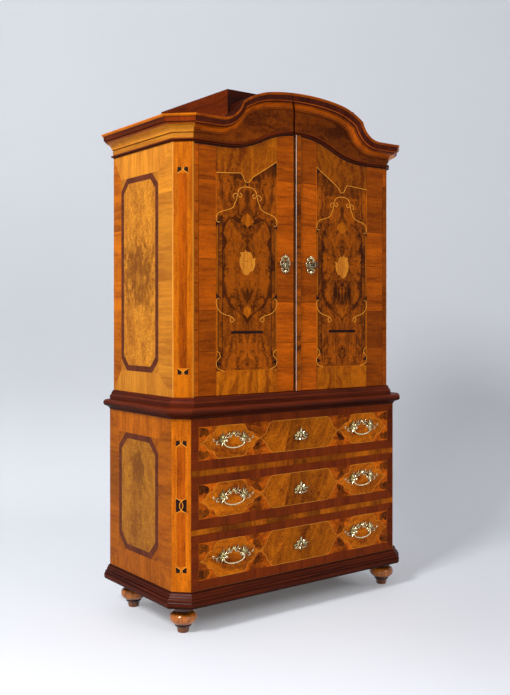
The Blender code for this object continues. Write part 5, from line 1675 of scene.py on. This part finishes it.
class CABINET_OT_key_plates(bpy.types.Operator):
    """Cast the key plates of the drawers and the doors"""

    bl_idname = "cabinet.key_plates"
    bl_label = "Key plates"

    def execute(self, context):
        for tag in DRAWERS:
            self.drawer_plate(f"key_plate_{tag}", f"drawer_{tag}")
        for side, _ in SIDES:
            self.door_plate(f"key_plate_door_{side}", f"door_{side}")
        return {"FINISHED"}

    def drawer_plate(self, node, body):
        """Leafy triangle round a keyhole."""
        low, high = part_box(node)
        cast = Casting((low.x + high.x) / 2, CHEST_Y - 4 * sizes().veneer, (low.z + high.z) / 2 - MM, CAST_BRASS)
        cast.leaf(0, 8, 0, 24, 9.0)
        for degrees, long, wide in ((26, 19, 6.8), (60, 20, 6.8), (97, 36, 9.4), (128, 26, 8.0)):
            cast.pair(9, 1, degrees, long, wide)
        cast.pair(20, -4, 62, 22, 6.6, 3)
        cast.pair(18, -6, 118, 26, 6.6, 3)
        cast.scrolls((6, -12), (15, -18), (26, -16), (29, -9), (23, -8))
        cast.scrolls((4, 9), (14, 13), (22, 8), (18, 3))
        cast.pair(4, -13, 160, 13, 6.0)
        self.finish(cast, node, body)

    def door_plate(self, node, body):
        """Oval wreath of scrolls and leaves round a keyhole."""
        low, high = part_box(node)
        cast = Casting((low.x + high.x) / 2, CAB_Y - 6 * sizes().veneer, (low.z + high.z) / 2, PLATE_BRASS)
        cast.leaf(0, 26, 0, 15, 8)
        cast.leaf(0, -26, 180, 15, 8)
        for degrees, long in ((18, 16), (42, 18), (64, 16), (88, 19), (112, 16), (136, 18), (162, 16)):
            turn = radians(degrees)
            cast.pair(15 * sin(turn), 24 * cos(turn), degrees - 8, long, 5.0)
            cast.pair(8 * sin(turn), 12 * cos(turn), degrees + 16, 11, 3.8, 3.2)
        for up in (1, -1):
            cast.scrolls((2, 30 * up), (12, 31 * up), (19, 24 * up), (16, 17 * up), (10, 20 * up))
        cast.scrolls((18, 14), (26, 7), (24, -4), (17, -2), (20, 4))
        cast.scrolls((6, 14), (10, 4), (10, -6), (5, -15))
        self.finish(cast, node, body)

    def finish(self, cast, node, body):
        """Add the keyhole's rim to a plate, finish it, and lay a black iron plate just inside, as painted shade in the
        hole.
        """
        cast.keyhole()
        cast.piece(f"cast_{node}", body, node)
        ring = [(0.0036 * sin(k * pi / 8), 0.0036 * cos(k * pi / 8)) for k in range(-7, 8)]
        ring += [(0.0012, -0.0095), (-0.0012, -0.0095)]
        rows = [[cast.place + Vector((x, y, z)) for x, z in ring] for y in (-0.0004, 0.0002)]
        name = f"keyhole_{node}"
        finish_piece(name, mesh_data(through(rows), name, [metal(*DARK_IRON)]), body)


class CABINET_OT_key(bpy.types.Operator):
    """Forge the door key"""

    bl_idname = "cabinet.key"
    bl_label = "Key"

    def execute(self, context):
        x, y, z = joint_place("door_key")
        low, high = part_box("door_key")
        rod = 0.0022
        bow_r = high.z - z - 0.0024
        end = y - high.y
        start = y - (low.y + 2 * bow_r + 2 * rod)
        profile = [(0.0, end), (0.003, end), (0.003, -0.006), (0.0044, -0.005), (0.0044, -0.003), (0.003, -0.002),
                   (0.0028, start - 0.006), (0.0046, start - 0.005), (0.0046, start - 0.003), (0.0030, start - 0.002),
                   (0.0030, start), (0.0, start)]
        shank = lathe(profile, 24, standing_out((x, y, z)))
        bow = self.bow(x, low.y + bow_r + 0.0024, z, bow_r, rod)
        parts = [mesh_data(mesh, "part") for mesh in (shank, bow, self.bit(x, z, high.y))]
        data = mesh_data(join(parts), "forged_key", [metal(*DARK_IRON)], 40)
        finish_piece("forged_key", data, "door_key", ("door_key",))
        return {"FINISHED"}

    def bow(self, x, y, z, radius, rod):
        """Kidney-shaped loop to hold the key by."""
        rounds, sides = 40, 12
        rows = []
        for i in range(rounds):
            turn = 2 * pi * i / rounds
            wide = 1.0 - 0.16 * max(0.0, cos(turn)) ** 6
            row = []
            for j in range(sides):
                roll = 2 * pi * j / sides
                reach = radius * wide + rod * cos(roll)
                row.append((x + rod * sin(roll), y - reach * cos(turn), z - reach * sin(turn)))
            rows.append(row)
        return through(rows, closed=True)

    def bit(self, x, z, end_y):
        """Flat bit with a notch, hanging under the shank's end."""
        edge = [(0, -1), (0, -8), (2.8, -8), (2.8, -5.5), (4.6, -5.5), (4.6, -8), (7.2, -8), (7.2, -1)]
        start = end_y - 0.0085
        return through([[(x + aside, start + u * MM, z + w * MM) for u, w in edge] for aside in (-0.0011, 0.0011)])


PIECES = (
    CABINET_OT_stage,
    CABINET_OT_carcass,
    CABINET_OT_feet,
    CABINET_OT_mouldings,
    CABINET_OT_cornice,
    CABINET_OT_sides,
    CABINET_OT_corners,
    CABINET_OT_doors,
    CABINET_OT_drawers,
    CABINET_OT_pulls,
    CABINET_OT_key_plates,
    CABINET_OT_key,
)


class CABINET_PT_pieces(bpy.types.Panel):
    """Settings and pieces of the cabinet"""

    bl_idname = "CABINET_PT_pieces"
    bl_label = "Cabinet on chest"
    bl_space_type = "VIEW_3D"
    bl_region_type = "UI"
    bl_category = "Cabinet"

    def draw(self, context):
        for group in (context.scene.cabinet_sizes, context.scene.cabinet_colours):
            for key in group.__annotations__:
                self.layout.prop(group, key)
        for piece in PIECES:
            self.layout.operator(piece.bl_idname)


CLASSES = (CabinetSizes, CabinetColours, *PIECES, CABINET_PT_pieces)


def register():
    """Register the classes and hang the settings on the scene."""
    for kind in CLASSES:
        bpy.utils.register_class(kind)
    bpy.types.Scene.cabinet_sizes = PointerProperty(type=CabinetSizes)
    bpy.types.Scene.cabinet_colours = PointerProperty(type=CabinetColours)


def unregister():
    """Undo register."""
    del bpy.types.Scene.cabinet_colours
    del bpy.types.Scene.cabinet_sizes
    for kind in reversed(CLASSES):
        bpy.utils.unregister_class(kind)


def main():
    """Make every piece in order."""
    register()
    for piece in PIECES:
        group, name = piece.bl_idname.split(".")
        getattr(getattr(bpy.ops, group), name)()


if __name__ == "__main__":
    main()
